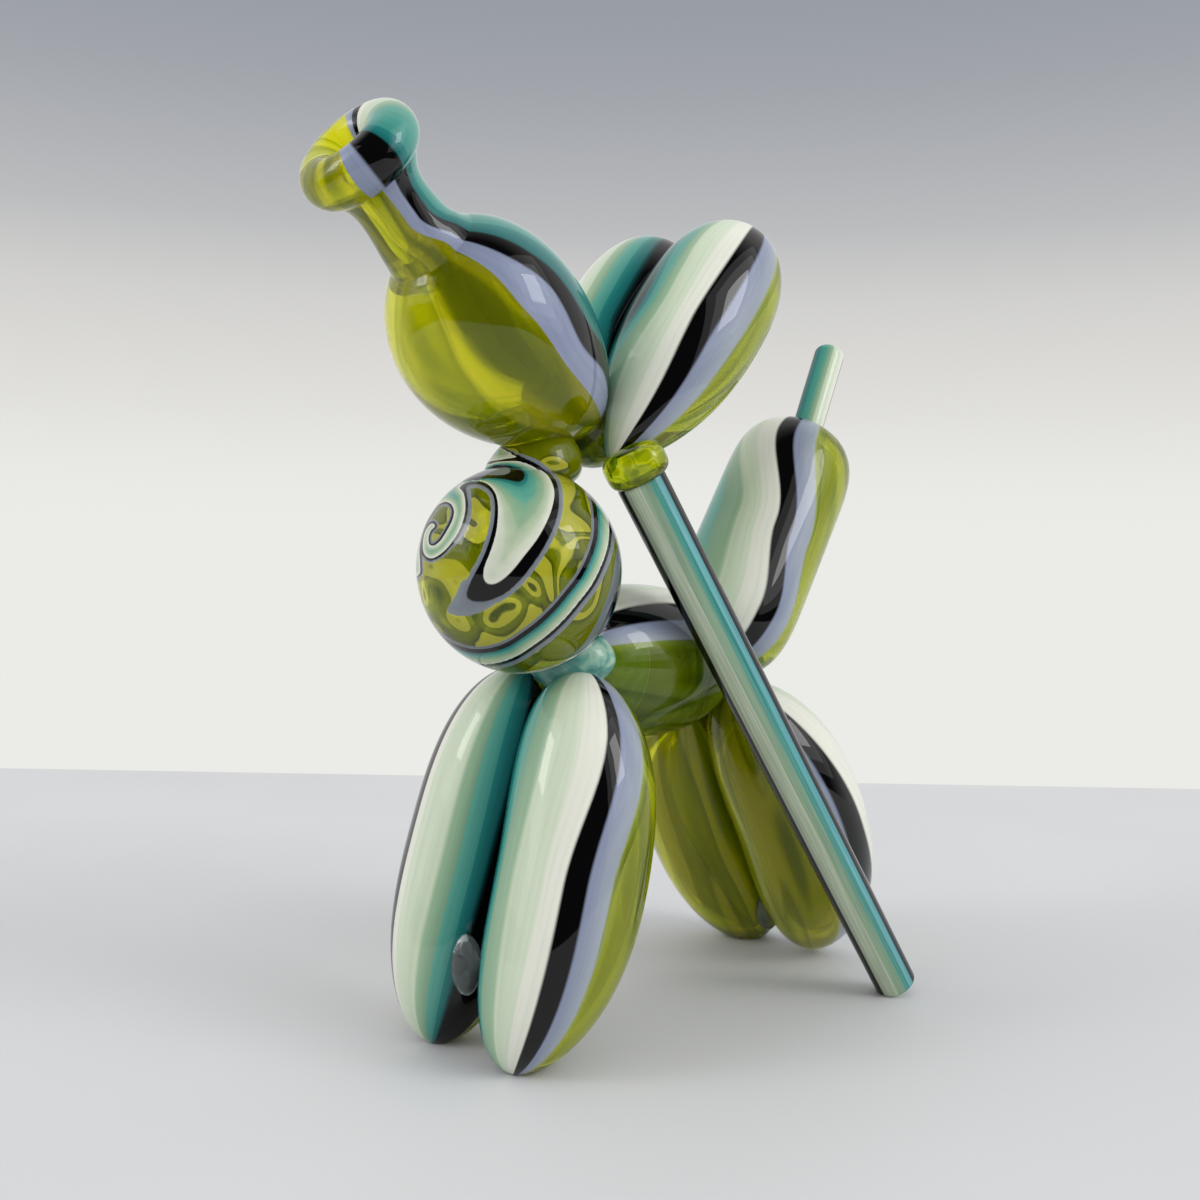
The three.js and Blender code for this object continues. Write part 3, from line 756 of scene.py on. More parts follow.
SWIRL_HOOK = (
    (220, 955), (295, 880), (341, 775), (352, 645), (341, 506), (292, 352), (209, 185), (111, 32),
    (0, -107), (-125, -219), (-251, -281), (-390, -302), (-467, -274), (-480, -219), (-432, -93),
    (-362, 32), (-306, 157), (-262, 297), (-234, 436), (-230, 575), (-251, 673), (-306, 735),
    (-376, 770), (-460, 770), (-501, 742), (-487, 659), (-487, 520), (-550, 600), (-580, 740),
    (-530, 840), (-380, 880), (-180, 780), (-120, 600), (-120, 300), (-220, 50), (-120, 50),
    (80, 300), (180, 500), (230, 720), (160, 850), (50, 940), (-100, 970), (-220, 970),
    (-200, 1045), (-80, 1060), (40, 1045), (130, 1010),
)
SWIRL_TAIL = (
    (-334, -386), (-487, -439), (-599, -439), (-671, -402), (-634, -330), (-571, -219),
    (-515, -107), (-400, -100), (-300, -200), (-200, -290),
)
SWIRL_FINGER = (
    (-360, 955), (-250, 1000), (-130, 1000), (-30, 955), (34, 890), (30, 830), (-20, 795),
    (-100, 810), (-190, 825), (-310, 830), (-430, 810), (-550, 815), (-600, 870), (-480, 920),
)
SWIRL_FINGER_CORE = (
    (-330, 930), (-240, 965), (-150, 960), (-100, 920), (-130, 875), (-210, 862), (-320, 865),
    (-430, 850), (-530, 860), (-440, 900),
)
SWIRL_BELT = (
    (-950, -600), (-800, -720), (-641, -804), (-487, -845), (-334, -845), (-181, -811), (-42, -748),
    (97, -650), (237, -539), (376, -400), (501, -247), (613, -100), (696, 60), (759, 227),
    (783, 366), (783, 533), (759, 701), (700, 860), (580, 1020), (400, 1160),
)
SWIRL_FOOT = (
    (-280, -1150), (10, -1070), (210, -1070), (460, -960), (650, -800), (790, -580), (880, -380),
    (960, -140), (1020, 190),
)
# How far from the middle of a band, outward, each number of the order of stripes is reached
BELT_PLACES = (-0.16, -0.125, -0.10, -0.055, -0.035, -0.01, 0.012, 0.052, 0.058, 0.09, 0.13, 0.17)
BELT_ORDER = (0.2, 1.0, 2.0, 3.0, 4.0, 5.0, 6.0, 7.0, 8.0, 9.0, 10.0, 10.8)
FOOT_PLACES = (-0.14, -0.10, -0.03, 0.02, 0.06, 0.16, 0.24, 0.40)
FOOT_ORDER = (0.2, 1.0, 2.0, 3.0, 4.0, 5.0, 6.0, 7.0)
BODY_SHARES = (0.0, 0.16, 0.46, 0.70, 0.86, 1.0)
BODY_ORDER = (3.0, 4.0, 5.0, 6.0, 7.0, 8.0)
THIN_LINE = 0.024
GREY_EDGE = 0.038
GREY_EDGE_IN_CURL = 0.010
HALF_THE_ORDER = 0.5
BACK_VIEW_EDGE = -0.3
CURL_EDGE = -0.50
ARM_EDGE = -0.45
CURL_FADE = 0.12
ARM_WIDTH = 0.11
CORE_WIDTH = 0.05
# A ribbon joins the two halves. The stripes beside it close with black and grey, as it does
RIBBON_PLACES = (0.0, 0.03, 0.05, 0.08, 0.105, 0.12)
RIBBON_ORDER = (4.0, 5.5, 7.0, 8.3, 9.3, 9.5)
CLOSING_PLACES = (0.0, 0.02, 0.05, 0.11)
CLOSING_ORDER = (9.5, 9.3, 8.3, 3.0)
# The stripes over the edge of the swirl on the neck weld, on its pale side and on its lime side, and
# where the one side passes into the other on the disc
NECK_PLACES = (0.0, 0.02, 0.035, 0.10, 0.30)
NECK_ORDER = (8.0, 8.9, 7.5, 5.5, 4.0)
NECK_LIME_PLACES = (0.0, 0.04, 0.08, 0.11)
NECK_LIME_ORDER = (8.0, 9.0, 10.0, 10.9)
NECK_LIME_SLANT = 1.6
NECK_LIME_START = 1.64
NECK_LIME_FADE = 0.10
NECK_LIME_LEAN_BACK = 3


def smooth_path(points, closed):
    """A Catmull-Rom curve through listed points in thousandths, in five steps from each."""
    points = np.array(points) / 1000
    before, after = (points[-1:], points[:2]) if closed else (points[:1], points[-1:])
    points = np.concatenate([before, points, after])
    path = []
    for a, b, c, d in zip(points, points[1:], points[2:], points[3:]):
        for step in range(5):
            t = step / 5
            path.append(0.5 * (
                2 * b + (c - a) * t + (2 * a - 5 * b + 4 * c - d) * t ** 2
                + (3 * b - a - 3 * c + d) * t ** 3
            ))
    path.append(points[-2])
    return np.array(path)


def path_offset(places, path):
    """Distance from each place to a path, positive on the right of its direction."""
    best = np.full(len(places), 1e9)
    side = np.ones(len(places))
    for a, b in zip(path[:-1], path[1:]):
        step = b - a
        from_start = places - a
        t = np.clip(from_start @ step / max(1e-12, np.dot(step, step)), 0, 1)
        distance = np.linalg.norm(from_start - t[:, None] * step, axis=1)
        closer = distance < best
        right_of = from_start[:, 0] * step[1] - from_start[:, 1] * step[0]
        best = np.where(closer, distance, best)
        side = np.where(closer, np.where(right_of < 0, -1.0, 1.0), side)
    return best * side


def inside_path(places, path):
    inside = np.zeros(len(places), bool)
    for a, b in zip(path[:-1], path[1:]):
        crosses = (a[1] > places[:, 1]) != (b[1] > places[:, 1])
        rise = b[1] - a[1] if abs(b[1] - a[1]) > 1e-12 else 1e-12
        edge = a[0] + (places[:, 1] - a[1]) * (b[0] - a[0]) / rise
        inside ^= crosses & (places[:, 0] < edge)
    return inside


def blob_depth(places, points):
    path = smooth_path(points, closed=True)
    distance = np.abs(path_offset(places, path))
    return np.where(inside_path(places, path), distance, -distance)


def body_order(places, body):
    """Inside the swirl, bands are nested between the finger and the outline."""
    finger = blob_depth(places, SWIRL_FINGER)
    core = blob_depth(places, SWIRL_FINGER_CORE)
    share = np.clip(-finger / np.maximum(body - finger, 1e-6), 0, 1)
    arm = np.clip((ARM_EDGE - places[:, 0]) / CURL_FADE, 0, 1)
    share = share * (1 - arm) + np.clip(1 - body / ARM_WIDTH, 0.2, 1) * arm
    order = np.interp(share, BODY_SHARES, BODY_ORDER)
    edge = 3 - finger / np.maximum(finger - core, 1e-6)
    order = np.where(finger > 0, edge, order)
    return np.where(core > 0, 1.9 - np.minimum(core / CORE_WIDTH, 1) * 0.4, order)


def swirl_order(places):
    """Where each place lies in the order of the swirl's stripes, how deep in opaque glass it is,
    and how far it is from the belt."""
    body = blob_depth(places, SWIRL_BODY)
    black = np.maximum(blob_depth(places, SWIRL_HOOK), body + THIN_LINE)
    toward_curl = np.clip((CURL_EDGE - places[:, 0]) / CURL_FADE, 0, 1)
    edge = GREY_EDGE + (GREY_EDGE_IN_CURL - GREY_EDGE) * toward_curl
    grey = np.maximum(blob_depth(places, SWIRL_TAIL), black + edge)
    order = body_order(places, body)
    order = np.where(body < 0, 8 - body / np.maximum(black - body, 1e-6), order)
    order = np.where(black < 0, 9 - black / np.maximum(grey - black, 1e-6), order)
    order = np.where(grey < 0, 10.05 - np.maximum(grey, -0.3) * 2, order)
    belt = path_offset(places, smooth_path(SWIRL_BELT, closed=False))
    foot = path_offset(places, smooth_path(SWIRL_FOOT, closed=False))
    order, depth = deeper(order, grey, *band_order(belt, BELT_PLACES, BELT_ORDER))
    order, depth = deeper(order, depth, *band_order(foot, FOOT_PLACES, FOOT_ORDER))
    return order, depth, belt


def band_order(offset, places, order):
    """The order of the stripes across a band, and the depth below the lime at its two sides."""
    depth = offset - places[1]
    if order[-1] > 10:
        depth = np.minimum(depth, places[-2] - offset)
    return np.interp(offset, places, order), depth


def deeper(order, depth, other_order, other_depth):
    return np.where(depth > other_depth, order, other_order), np.maximum(depth, other_depth)


def disc_places(direction, view):
    right = unit(np.cross(UP, view))
    up = np.cross(view, right)
    toward = direction @ view
    flat = np.stack([direction @ right, direction @ up], axis=-1)
    size = np.linalg.norm(flat, axis=-1)
    beyond = np.arccos(np.clip(toward, -1, 1)) - np.pi / 2
    reach = np.where(toward > 0, size, 1 + beyond)
    return flat * (reach / np.maximum(size, 1e-9))[:, None], toward


def swirl_stripe(direction):
    """The stripe coordinate for each direction from the ball's centre, and where it lies across
    the belt."""
    front, toward = disc_places(direction, SWIRL_VIEW)
    back, _ = disc_places(direction, SWIRL_VIEW * np.array([-1, -1, 1]))
    in_front = toward > BACK_VIEW_EDGE
    order, depth, belt = swirl_order(np.where(in_front[:, None], front, back))
    offset = np.abs(toward - BACK_VIEW_EDGE)
    beside = offset - RIBBON_PLACES[-1]
    closing = np.interp(beside, CLOSING_PLACES, CLOSING_ORDER)
    near = (beside < CLOSING_PLACES[-1]) & (beside < depth)
    order = np.where(near, np.maximum(order, closing), order)
    order = np.where(beside < 0, np.interp(offset, RIBBON_PLACES, RIBBON_ORDER), order)
    return order / len(SWIRL_STRIPES), 0.5 + belt / 4


def one_lime_end(part):
    """Lime, grey and black stand at both ends of the order. A face that would run through more than
    half the order takes its corners' last place alone."""
    uv = part["uv"].copy()
    first = 0
    for face in part["faces"]:
        corners = slice(first, first + len(face))
        stripe = uv[corners, 0]
        if stripe.max() - stripe.min() > HALF_THE_ORDER:
            uv[corners, 0] = stripe.max()
        first += len(face)
    return dict(part, uv=uv)


def ball_sheet(shape, grid, inset=False):
    rows, columns = grid
    share = even_shares(rows)
    angle = np.broadcast_to(np.arange(columns) / columns, (rows + 1, columns))
    points = bulb_points(shape, share[:, None] + 0 * angle, angle, inset)
    way = (points - BALL_CENTRE).reshape(-1, 3)
    way = way / np.linalg.norm(way, axis=1)[:, None]
    stripe, across_belt = (
        np.concatenate([field.reshape(rows + 1, columns), field[::columns, None]], axis=1)
        for field in swirl_stripe(way)
    )
    grain = (way * 6).reshape(rows + 1, columns, 3)
    return outward(one_lime_end(grid_part(points, stripe, grain, along=across_belt)), inward=inset)


# Materials

def linear(color):
    """An sRGB colour from 0 to 255 as the linear values that shaders take."""
    values = []
    for channel in color:
        c = channel / 255
        values.append(c / 12.92 if c <= 0.04045 else ((c + 0.055) / 1.055) ** 2.4)
    return (*values, 1.0)


def new_material(name):
    material = bpy.data.materials.new(name)
    material.use_nodes = True
    tree = material.node_tree
    shader = tree.nodes["Principled BSDF"]
    shader.inputs["IOR"].default_value = GLASS_IOR
    return material, tree, shader


def add_node(tree, kind, **settings):
    node = tree.nodes.new("ShaderNode" + kind)
    for key, value in settings.items():
        setattr(node, key, value)
    return node


def grain_of(tree):
    return add_node(tree, "Attribute", attribute_name="grain").outputs["Vector"]


def feed(tree, value, socket):
    """Sets a socket to a plain value, or links it to another node's output."""
    if isinstance(value, (int, float, tuple)):
        socket.default_value = value
    else:
        tree.links.new(value, socket)


def noise(tree, vector, scale, detail=2.0, distortion=0.0):
    node = add_node(tree, "TexNoise")
    node.inputs["Scale"].default_value = scale
    node.inputs["Detail"].default_value = detail
    node.inputs["Distortion"].default_value = distortion
    feed(tree, vector, node.inputs["Vector"])
    return node.outputs["Fac"]


def maths(tree, operation, first, second):
    node = add_node(tree, "Math", operation=operation)
    feed(tree, first, node.inputs[0])
    feed(tree, second, node.inputs[1])
    return node.outputs[0]


def ramp(tree, value, stops, interpolation="LINEAR"):
    """A colour ramp. Colours of three numbers are sRGB, and those of four are linear already."""
    node = add_node(tree, "ValToRGB")
    node.color_ramp.interpolation = interpolation
    elements = node.color_ramp.elements
    while len(elements) < len(stops):
        elements.new(0.5)
    for element, (position, color) in zip(elements, stops):
        element.position = position
        element.color = linear(color) if len(color) == 3 else color
    feed(tree, value, node.inputs["Fac"])
    return node.outputs["Color"]


def mixed(tree, share, first, second, blend="MIX"):
    node = add_node(tree, "Mix", data_type="RGBA", blend_type=blend)
    for socket, value in ((0, share), (6, first), (7, second)):
        feed(tree, value, node.inputs[socket])
    return node.outputs[2]


def stripe_stops(stripes, soft):
    span = 1 / len(stripes)
    stops = []
    for k, (_, first, last) in enumerate(stripes):
        stops.append((k * span + (soft if k else 0), first))
        stops.append(((k + 1) * span - (soft if k < len(stripes) - 1 else 0), last))
    return stops


def gloss_and_waves(tree, shader, vector, rough, waves):
    """Small changes of gloss, and the shallow waves of glass shaped by hand."""
    spread = maths(tree, "MULTIPLY", noise(tree, vector, 0.5), ROUGHNESS_SPREAD)
    feed(tree, maths(tree, "ADD", spread, rough), shader.inputs["Roughness"])
    bump = add_node(tree, "Bump")
    bump.inputs["Strength"].default_value = waves
    bump.inputs["Distance"].default_value = WAVE_DEPTH
    feed(tree, noise(tree, vector, 0.22, detail=1.0), bump.inputs["Height"])
    feed(tree, bump.outputs["Normal"], shader.inputs["Normal"])


def lime_tint_and_painted_streaks(tree, vector, scale):
    # The lime tint, with lighter and darker streaks of painted light refracted inside the glass
    return ramp(tree, noise(tree, vector, scale, detail=1.0), LIME_TINT_AND_PAINTED_STREAKS)


def lime_curls_and_painted_windows(tree, across, vector):
    """Yellow windows of painted light and olive bands that curl through the swirl's lime glass.
    Across is the place across the belt."""
    plan = add_node(tree, "CombineXYZ")
    along = noise(tree, vector, 0.22, detail=0.0)
    feed(tree, maths(tree, "MULTIPLY", across, 10.0), plan.inputs["X"])
    feed(tree, maths(tree, "MULTIPLY", along, 4.0), plan.inputs["Y"])
    return ramp(tree, noise(tree, plan.outputs["Vector"], 1.0, detail=0.5), LIME_CURLS_AND_PAINTED_WINDOWS)


def add_clear_lime(tree, shader, color, see_through, lime, shade, clearness):
    """Lays clear lime glass over the stripe colours where the glass can be seen through. It is
    olive where it is seen edge on."""
    # Painted shade: the lime is darkened by the shade given
    lime = mixed(tree, 1.0, lime, shade, "MULTIPLY")
    facing = add_node(tree, "LayerWeight").outputs["Facing"]
    at_edge = maths(tree, "MULTIPLY", maths(tree, "POWER", facing, LIME_EDGE_SHARPNESS), LIME_EDGE)
    lime = mixed(tree, at_edge, lime, linear(LIME_OLIVE))
    clear = maths(tree, "MULTIPLY", see_through, clearness)
    feed(tree, clear, shader.inputs["Transmission Weight"])
    return mixed(tree, see_through, color, lime)


def striped_glass(name, stripes, soft=0.006, clear_ends=1, thread=0.91, curls=False, shade=NO_PAINTED_SHADE):
    """Opaque stripes and clear lime glass, laid out by the stripe coordinate. The last stripe is
    clear, or the first and the last, or none. The shade darkens the clear lime as painted shade."""
    material, tree, shader = new_material(name)
    layout = add_node(tree, "UVMap", uv_map="stripes")
    split = add_node(tree, "SeparateXYZ")
    feed(tree, layout.outputs["UV"], split.inputs["Vector"])
    fibres = grain_of(tree)
    sway = maths(tree, "SUBTRACT", noise(tree, fibres, 0.35), 0.5)
    stripe = maths(tree, "ADD", split.outputs["X"], maths(tree, "MULTIPLY", sway, STRIPE_SWAY))
    color = ramp(tree, stripe, stripe_stops(stripes, soft))
    darker = ramp(tree, noise(tree, fibres, 1.1), [
        (0.34, (thread, thread + 0.02, thread + 0.02, 1)),
        (0.60, (1.0, 1.0, 1.0, 1)),
    ])
    color = mixed(tree, 1.0, color, darker, "MULTIPLY")
    if clear_ends:
        span = 1 / len(stripes)
        stops = [(1 - span - soft, (0, 0, 0, 1)), (1 - span + soft, (1, 1, 1, 1))]
        if clear_ends == 2:
            stops = [(span - soft, (1, 1, 1, 1)), (span + soft, (0, 0, 0, 1))] + stops
        see_through = ramp(tree, stripe, stops)
        clearness = CURL_CLEARNESS if curls else LIME_CLEARNESS
        if curls:
            lime = lime_curls_and_painted_windows(tree, split.outputs["Y"], fibres)
        else:
            lime = lime_tint_and_painted_streaks(tree, fibres, 0.45)
        color = add_clear_lime(tree, shader, color, see_through, lime, shade, clearness)
    feed(tree, color, shader.inputs["Base Color"])
    gloss_and_waves(tree, shader, fibres, GLASS_ROUGHNESS, 0.05)
    return material


def lime_weld_glass():
    """Lime glass in shallow folds that catch the light. Its lighter and darker streaks are painted light,
    and painted shade darkens its lime.
    """
    material, tree, shader = new_material("lime weld glass in painted shade")
    fibres = grain_of(tree)
    color = mixed(tree, 1.0, lime_tint_and_painted_streaks(tree, fibres, 0.25), LEG_PAINTED_SHADE, "MULTIPLY")
    feed(tree, color, shader.inputs["Base Color"])
    shader.inputs["Transmission Weight"].default_value = 0.9
    gloss_and_waves(tree, shader, fibres, 0.03, 0.3)
    return material


def folded_glass(name, scale, distortion, stops, clearness, waves):
    """Weld glass that is drawn out in folds of nearly the same colour."""
    material, tree, shader = new_material(name)
    fibres = grain_of(tree)
    color = ramp(tree, noise(tree, fibres, scale, distortion=distortion), stops)
    feed(tree, color, shader.inputs["Base Color"])
    shader.inputs["Transmission Weight"].default_value = clearness
    gloss_and_waves(tree, shader, fibres, GLASS_ROUGHNESS, waves)
    return material


def teal_weld_glass():
    stops = list(zip((0.30, 0.50, 0.70), TEAL_WELD))
    return folded_glass("milky teal glass", 0.18, 1.2, stops, 0.0, 0.1)


def clear_weld_glass():
    stops = list(zip((0.35, 0.70), CLEAR_WELD))
    return folded_glass("clear glass", 0.3, 0.8, stops, 0.92, 0.2)


# Stripe widths in thousandths of a turn, at shares of each piece's length. The first number is where
# the order of stripes starts, in turns, and lime takes what is left of the turn.
HIND_LEG_STRIPES = {
    0.10: (1.03, (0, 100, 70, 80, 80, 60, 90, 70, 80)),
    0.50: (1.03, (0, 100, 80, 90, 80, 60, 90, 70, 75)),
    0.90: (1.03, (0, 100, 90, 100, 80, 60, 90, 50, 70)),
}
STRIPES_ROUND = {
    "front_leg_left": {
        0.05: (-0.03, (0, 150, 30, 30, 70, 60, 50, 55, 55)),
        0.45: (-0.03, (0, 185, 10, 20, 50, 77, 40, 48, 55)),
        0.90: (-0.03, (0, 170, 30, 50, 55, 75, 70, 35, 80)),
    },
    "front_leg_right": {
        0.05: (-0.03, (0, 140, 20, 40, 40, 85, 30, 60, 60)),
        0.45: (-0.03, (0, 130, 25, 35, 35, 90, 20, 70, 60)),
        0.90: (-0.03, (0, 125, 40, 35, 30, 85, 20, 70, 60)),
    },
    "hind_leg_left": HIND_LEG_STRIPES,
    "hind_leg_right": HIND_LEG_STRIPES,
    "ear_left": {
        0.10: (-0.02, (0, 100, 40, 40, 80, 100, 60, 60, 70)),
        0.50: (-0.02, (0, 255, 15, 20, 25, 45, 35, 60, 75)),
        0.85: (-0.02, (0, 200, 40, 40, 20, 55, 45, 55, 70)),
    },
    "ear_right": {
        0.10: (-0.02, (0, 80, 50, 50, 60, 60, 50, 50, 80)),
        0.50: (-0.02, (0, 170, 30, 35, 30, 60, 30, 40, 80)),
    },
    "tail": {
        0.20: (0.72, (0, 50, 80, 140, 60, 60, 60, 50, 60)),
        0.50: (0.68, (0, 50, 70, 170, 60, 50, 45, 45, 65)),
        0.88: (0.60, (0, 50, 60, 150, 60, 60, 55, 50, 60)),
    },
    "torso": {0.0: (-0.39, (0, 160, 60, 90, 90, 50, 50, 45, 45))},
    "head_bulb": {
        0.25: (0.29, (65, 50, 50, 60, 60, 60, 50, 60, 50)),
        0.50: (0.295, (45, 45, 45, 80, 60, 60, 50, 50, 50)),
        0.75: (0.285, (65, 35, 45, 60, 50, 50, 50, 50, 60)),
        0.92: (0.27, (45, 45, 40, 90, 40, 50, 40, 50, 60)),
    },
    "nose_neck": {
        0.15: (0.27, (45, 45, 40, 90, 40, 50, 40, 50, 60)),
        0.50: (0.35, (50, 60, 30, 120, 60, 60, 50, 60, 50)),
        1.0: (0.36, (50, 60, 30, 120, 60, 60, 50, 60, 50)),
    },
    "nose_lip": {0.0: (0.40, (45, 75, 20, 110, 40, 90, 30, 40, 40))},
    "prop_cane": {0.0: (0.33, (0, 85, 50, 45, 60, 85, 30, 150, 40))},
    "tail_tip": {0.0: (-0.10, (0, 20, 80, 80, 50, 100, 80, 50, 100))},
}


# The pieces

def bridge_centre(leg, bridge):
    """A bridge lies over the crease of two legs, in front of the legs' middle at its height."""
    share = bridge["over"] / (leg["end"][2] - leg["start"][2])
    middle = leg["start"] + (leg["end"] - leg["start"]) * share
    middle = middle + leg["bow"] * 4 * share * (1 - share)
    return place(0, middle[1] - bridge["forward"], bridge["over"])


def build_dog():
    # Copies of one lime glass; two of them darken the lime with painted shade
    striped = striped_glass("striped glass with lime in painted shade", STRIPES, shade=LEG_PAINTED_SHADE)
    cane = striped_glass("striped cane glass", PROP_STRIPES, clear_ends=0, thread=0.72)
    lime = striped_glass("lime glass with stripes", STRIPES)
    lime_in_painted_shade = striped_glass("lime glass with stripes in deep painted shade", STRIPES, shade=TORSO_PAINTED_SHADE)
    swirled = striped_glass("swirled glass", SWIRL_STRIPES, soft=0.004, clear_ends=2, curls=True)
    lime_weld = lime_weld_glass()
    teal_weld = teal_weld_glass()
    clear_weld = clear_weld_glass()

    half_ball = leaning(BALL_LEAN) * BALL_HEIGHT / 2
    ball_ends = (BALL_CENTRE - half_ball, BALL_CENTRE + half_ball)
    ball = bulb_shape(*ball_ends, BALL, FORWARD, (END_WALL, END_WALL))
    sag = place(0, 0, -HEAD_SAG)
    head = bulb_shape(HEAD_ROOT, HEAD_FRONT, HEAD, UP, (TWIST_WALL, END_WALL), bow=sag)
    tail = bulb_shape(TAIL_ROOT, TAIL_TOP, TAIL, FORWARD, (TWIST_WALL, END_WALL))
    torso_front = SHOULDER + place(0, -TORSO_OVERHANG, TORSO_FRONT_RISE)
    torso_back = HIP + place(0, TORSO_OVERHANG, TORSO_BACK_RISE)
    torso = bulb_shape(torso_front, torso_back, TORSO, UP, (TORSO_END_WALL, TORSO_END_WALL))
    front_legs = bulb_pair(
        FRONT_FOOT, SHOULDER, FRONT_LEG_SPREADS, FRONT_LEG_BOWS, FRONT_LEG, (END_WALL, TWIST_WALL),
    )
    hind_legs = bulb_pair(
        HIND_FOOT, HIP, HIND_LEG_SPREADS, HIND_LEG_BOWS, HIND_LEG, (END_WALL, TWIST_WALL),
        left_lift=HIND_LEFT_LIFT,
    )
    ears = bulb_pair(EAR_ROOT, EAR_TOP, EAR_SPREADS, (0, 0), EAR, (TWIST_WALL, END_WALL))

    for side in ("left", "right"):
        striped_bulb("front_leg_" + side, front_legs[side], striped, 1, [ball])
        striped_bulb("hind_leg_" + side, hind_legs[side], lime, -1)
        striped_bulb("ear_" + side, ears[side], striped, 1, [head])
    striped_bulb("torso", torso, lime_in_painted_shade, 1, [ball])
    striped_bulb("head_bulb", head, lime, -1)
    striped_bulb("tail", tail, striped, 1)
    ball_parts = [ball_sheet(ball, BALL_GRID), ball_sheet(ball, BALL_AIR_GRID, inset=True)]
    glass_object("neck_ball", ball_parts, swirled)

    nose_tube(lime)
    nose_lip(lime)
    rod("prop_cane", PROP_FOOT, PROP_TOP, PROP_FOOT_RADIUS, PROP_TOP_RADIUS, PROP_EDGE, cane, -1)
    rod("tail_tip", TIP_ROOT, TIP_END, TIP_RADIUS, TIP_RADIUS, TIP_EDGE, striped, 1)

    round_neck = [head, ball, *ears.values()]
    at_shoulder = [ball, torso, *front_legs.values()]
    at_hip = [tail, *hind_legs.values()]
    shoulder = SHOULDER + SHOULDER_KNOT_SHIFT
    weld("head_knot", HEAD_ROOT, HEAD_KNOT, round_neck, lime_weld, 1)
    neck_weld(round_neck, swirled)
    sleeve(round_neck, lime_weld)
    weld("shoulder_knot", shoulder, SHOULDER_KNOT, at_shoulder, teal_weld, 4)
    weld("hip_knot", (HIP + TAIL_ROOT) / 2, HIP_KNOT, at_hip, teal_weld, 5)
    for name, legs, bridge in (
        ("front_leg_bridge", front_legs, FRONT_BRIDGE),
        ("hind_leg_bridge", hind_legs, HIND_BRIDGE),
    ):
        centre = bridge_centre(legs["left"], bridge)
        weld(name, centre, bridge["size"], [*legs.values()], clear_weld, 6)


# Camera, floor and light

def add_camera():
    forward = Vector((
        -math.sin(CAMERA_YAW) * math.cos(CAMERA_PITCH),
        math.cos(CAMERA_YAW) * math.cos(CAMERA_PITCH),
        -math.sin(CAMERA_PITCH),
    ))
    level = Vector((math.cos(CAMERA_YAW), math.sin(CAMERA_YAW), 0))
    upright = level.cross(forward)
    right = level * math.cos(CAMERA_ROLL) + upright * math.sin(CAMERA_ROLL)
    up = upright * math.cos(CAMERA_ROLL) - level * math.sin(CAMERA_ROLL)
    data = bpy.data.cameras.new("photo camera")
    data.lens = CAMERA_LENS
    data.sensor_width = CAMERA_SENSOR
    data.clip_start = 0.01
    camera = add_object("photo camera", data)
    turn = Matrix((right, up, -forward)).transposed().to_4x4()
    camera.matrix_world = Matrix.Translation(
        Vector((np.array(CAMERA_PLACE) + ORIGIN_SHIFT) * METRES)
    ) @ turn
    bpy.context.scene.camera = camera


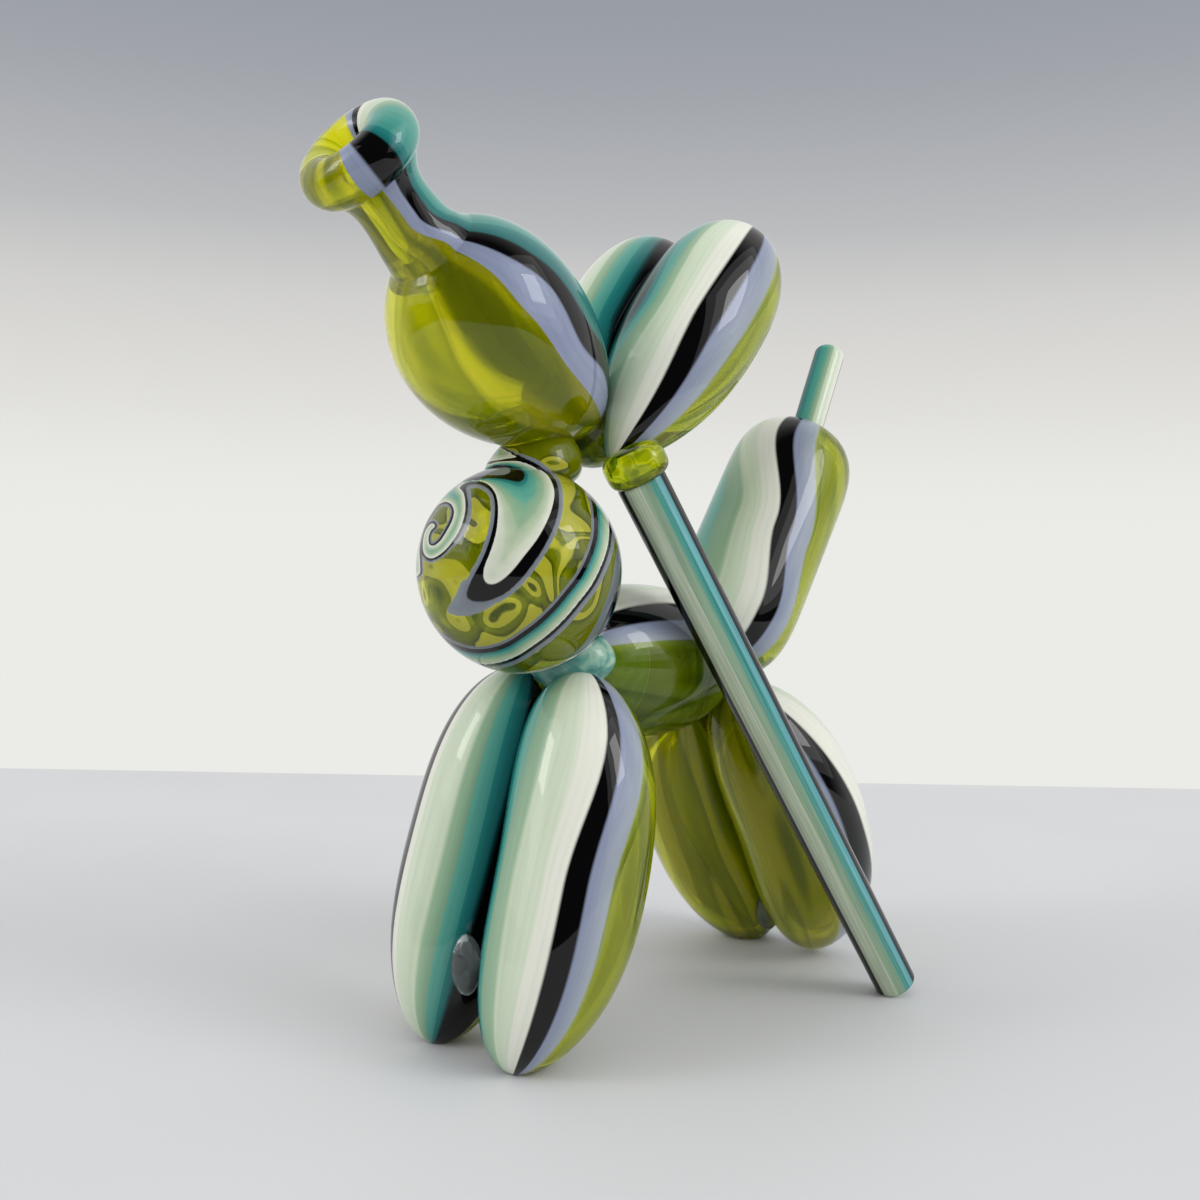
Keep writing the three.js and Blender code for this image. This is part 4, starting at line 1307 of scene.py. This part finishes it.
def add_floor():
    """A plain pale table top. Its back edge stands square behind the dog, as in the photo."""
    mesh = bpy.data.meshes.new("floor")
    across = Vector((math.cos(FLOOR_TURN), math.sin(FLOOR_TURN), 0))
    back = Vector((-math.sin(FLOOR_TURN), math.cos(FLOOR_TURN), 0))
    middle = Vector(ORIGIN_SHIFT * METRES)
    corners = [
        middle + across * (side * FLOOR_REACH) + back * reach
        for side, reach in ((-1, -FLOOR_REACH), (1, -FLOOR_REACH), (1, FLOOR_BACK), (-1, FLOOR_BACK))
    ]
    mesh.from_pydata(corners, [], [(0, 1, 2, 3)])
    material, tree, shader = new_material("pale floor")
    shader.inputs["Roughness"].default_value = FLOOR_ROUGHNESS
    places = add_node(tree, "TexCoord").outputs["Object"]
    color = ramp(tree, noise(tree, places, 9.0), list(zip((0.3, 0.7), FLOOR_COLOURS)))
    feed(tree, color, shader.inputs["Base Color"])
    mesh.materials.append(material)
    floor = add_object("floor", mesh)


def add_world():
    """Even light for the dog, a pale backdrop that greys upwards, and a darker room behind the
    camera for the glass to mirror."""
    world = bpy.data.worlds.new("studio")
    world.use_nodes = True
    bpy.context.scene.world = world
    tree = world.node_tree
    tree.nodes.clear()
    way = add_node(tree, "TexCoord").outputs["Generated"]
    split = add_node(tree, "SeparateXYZ")
    feed(tree, way, split.inputs["Vector"])
    backdrop = ramp(tree, split.outputs["Z"], BACKDROP, interpolation="B_SPLINE")
    toward_back = maths(
        tree,
        "ADD",
        maths(tree, "MULTIPLY", split.outputs["X"], -math.sin(CAMERA_YAW)),
        maths(tree, "MULTIPLY", split.outputs["Y"], math.cos(CAMERA_YAW)),
    )
    share = maths(tree, "ADD", maths(tree, "MULTIPLY", toward_back, 0.5), 0.5)
    room = ramp(tree, share, [(0.40, ROOM_DARK), (0.62, ROOM_BRIGHT)])
    path = add_node(tree, "LightPath")
    seen = mixed(tree, path.outputs["Is Glossy Ray"], backdrop, room)
    light = mixed(tree, path.outputs["Is Diffuse Ray"], seen, WORLD_LIGHT)
    background = add_node(tree, "Background")
    feed(tree, light, background.inputs["Color"])
    output = add_node(tree, "OutputWorld")
    feed(tree, background.outputs["Background"], output.inputs["Surface"])


def add_lamp(side, part, distance, width, height, watts):
    """A lamp that faces the dog, in the soft box on one side."""
    azimuth, elevation = (math.radians(degrees) for degrees in LAMP_PLACES[side])
    way = Vector((
        math.sin(azimuth) * math.cos(elevation),
        -math.cos(azimuth) * math.cos(elevation),
        math.sin(elevation),
    ))
    data = bpy.data.lights.new(side + " " + part, "AREA")
    data.shape = "RECTANGLE"
    data.size = width
    data.size_y = height
    data.energy = watts
    lamp = add_object(side + " " + part, data)
    lamp.location = Vector(LAMP_AIM) + way * distance
    lamp.rotation_euler = way.to_track_quat("Z", "Y").to_euler()


def main():
    add_camera()
    add_floor()
    add_world()
    for lamp in LAMPS:
        add_lamp(*lamp)
    build_dog()
    bpy.context.scene.view_settings.view_transform = "Standard"


main()
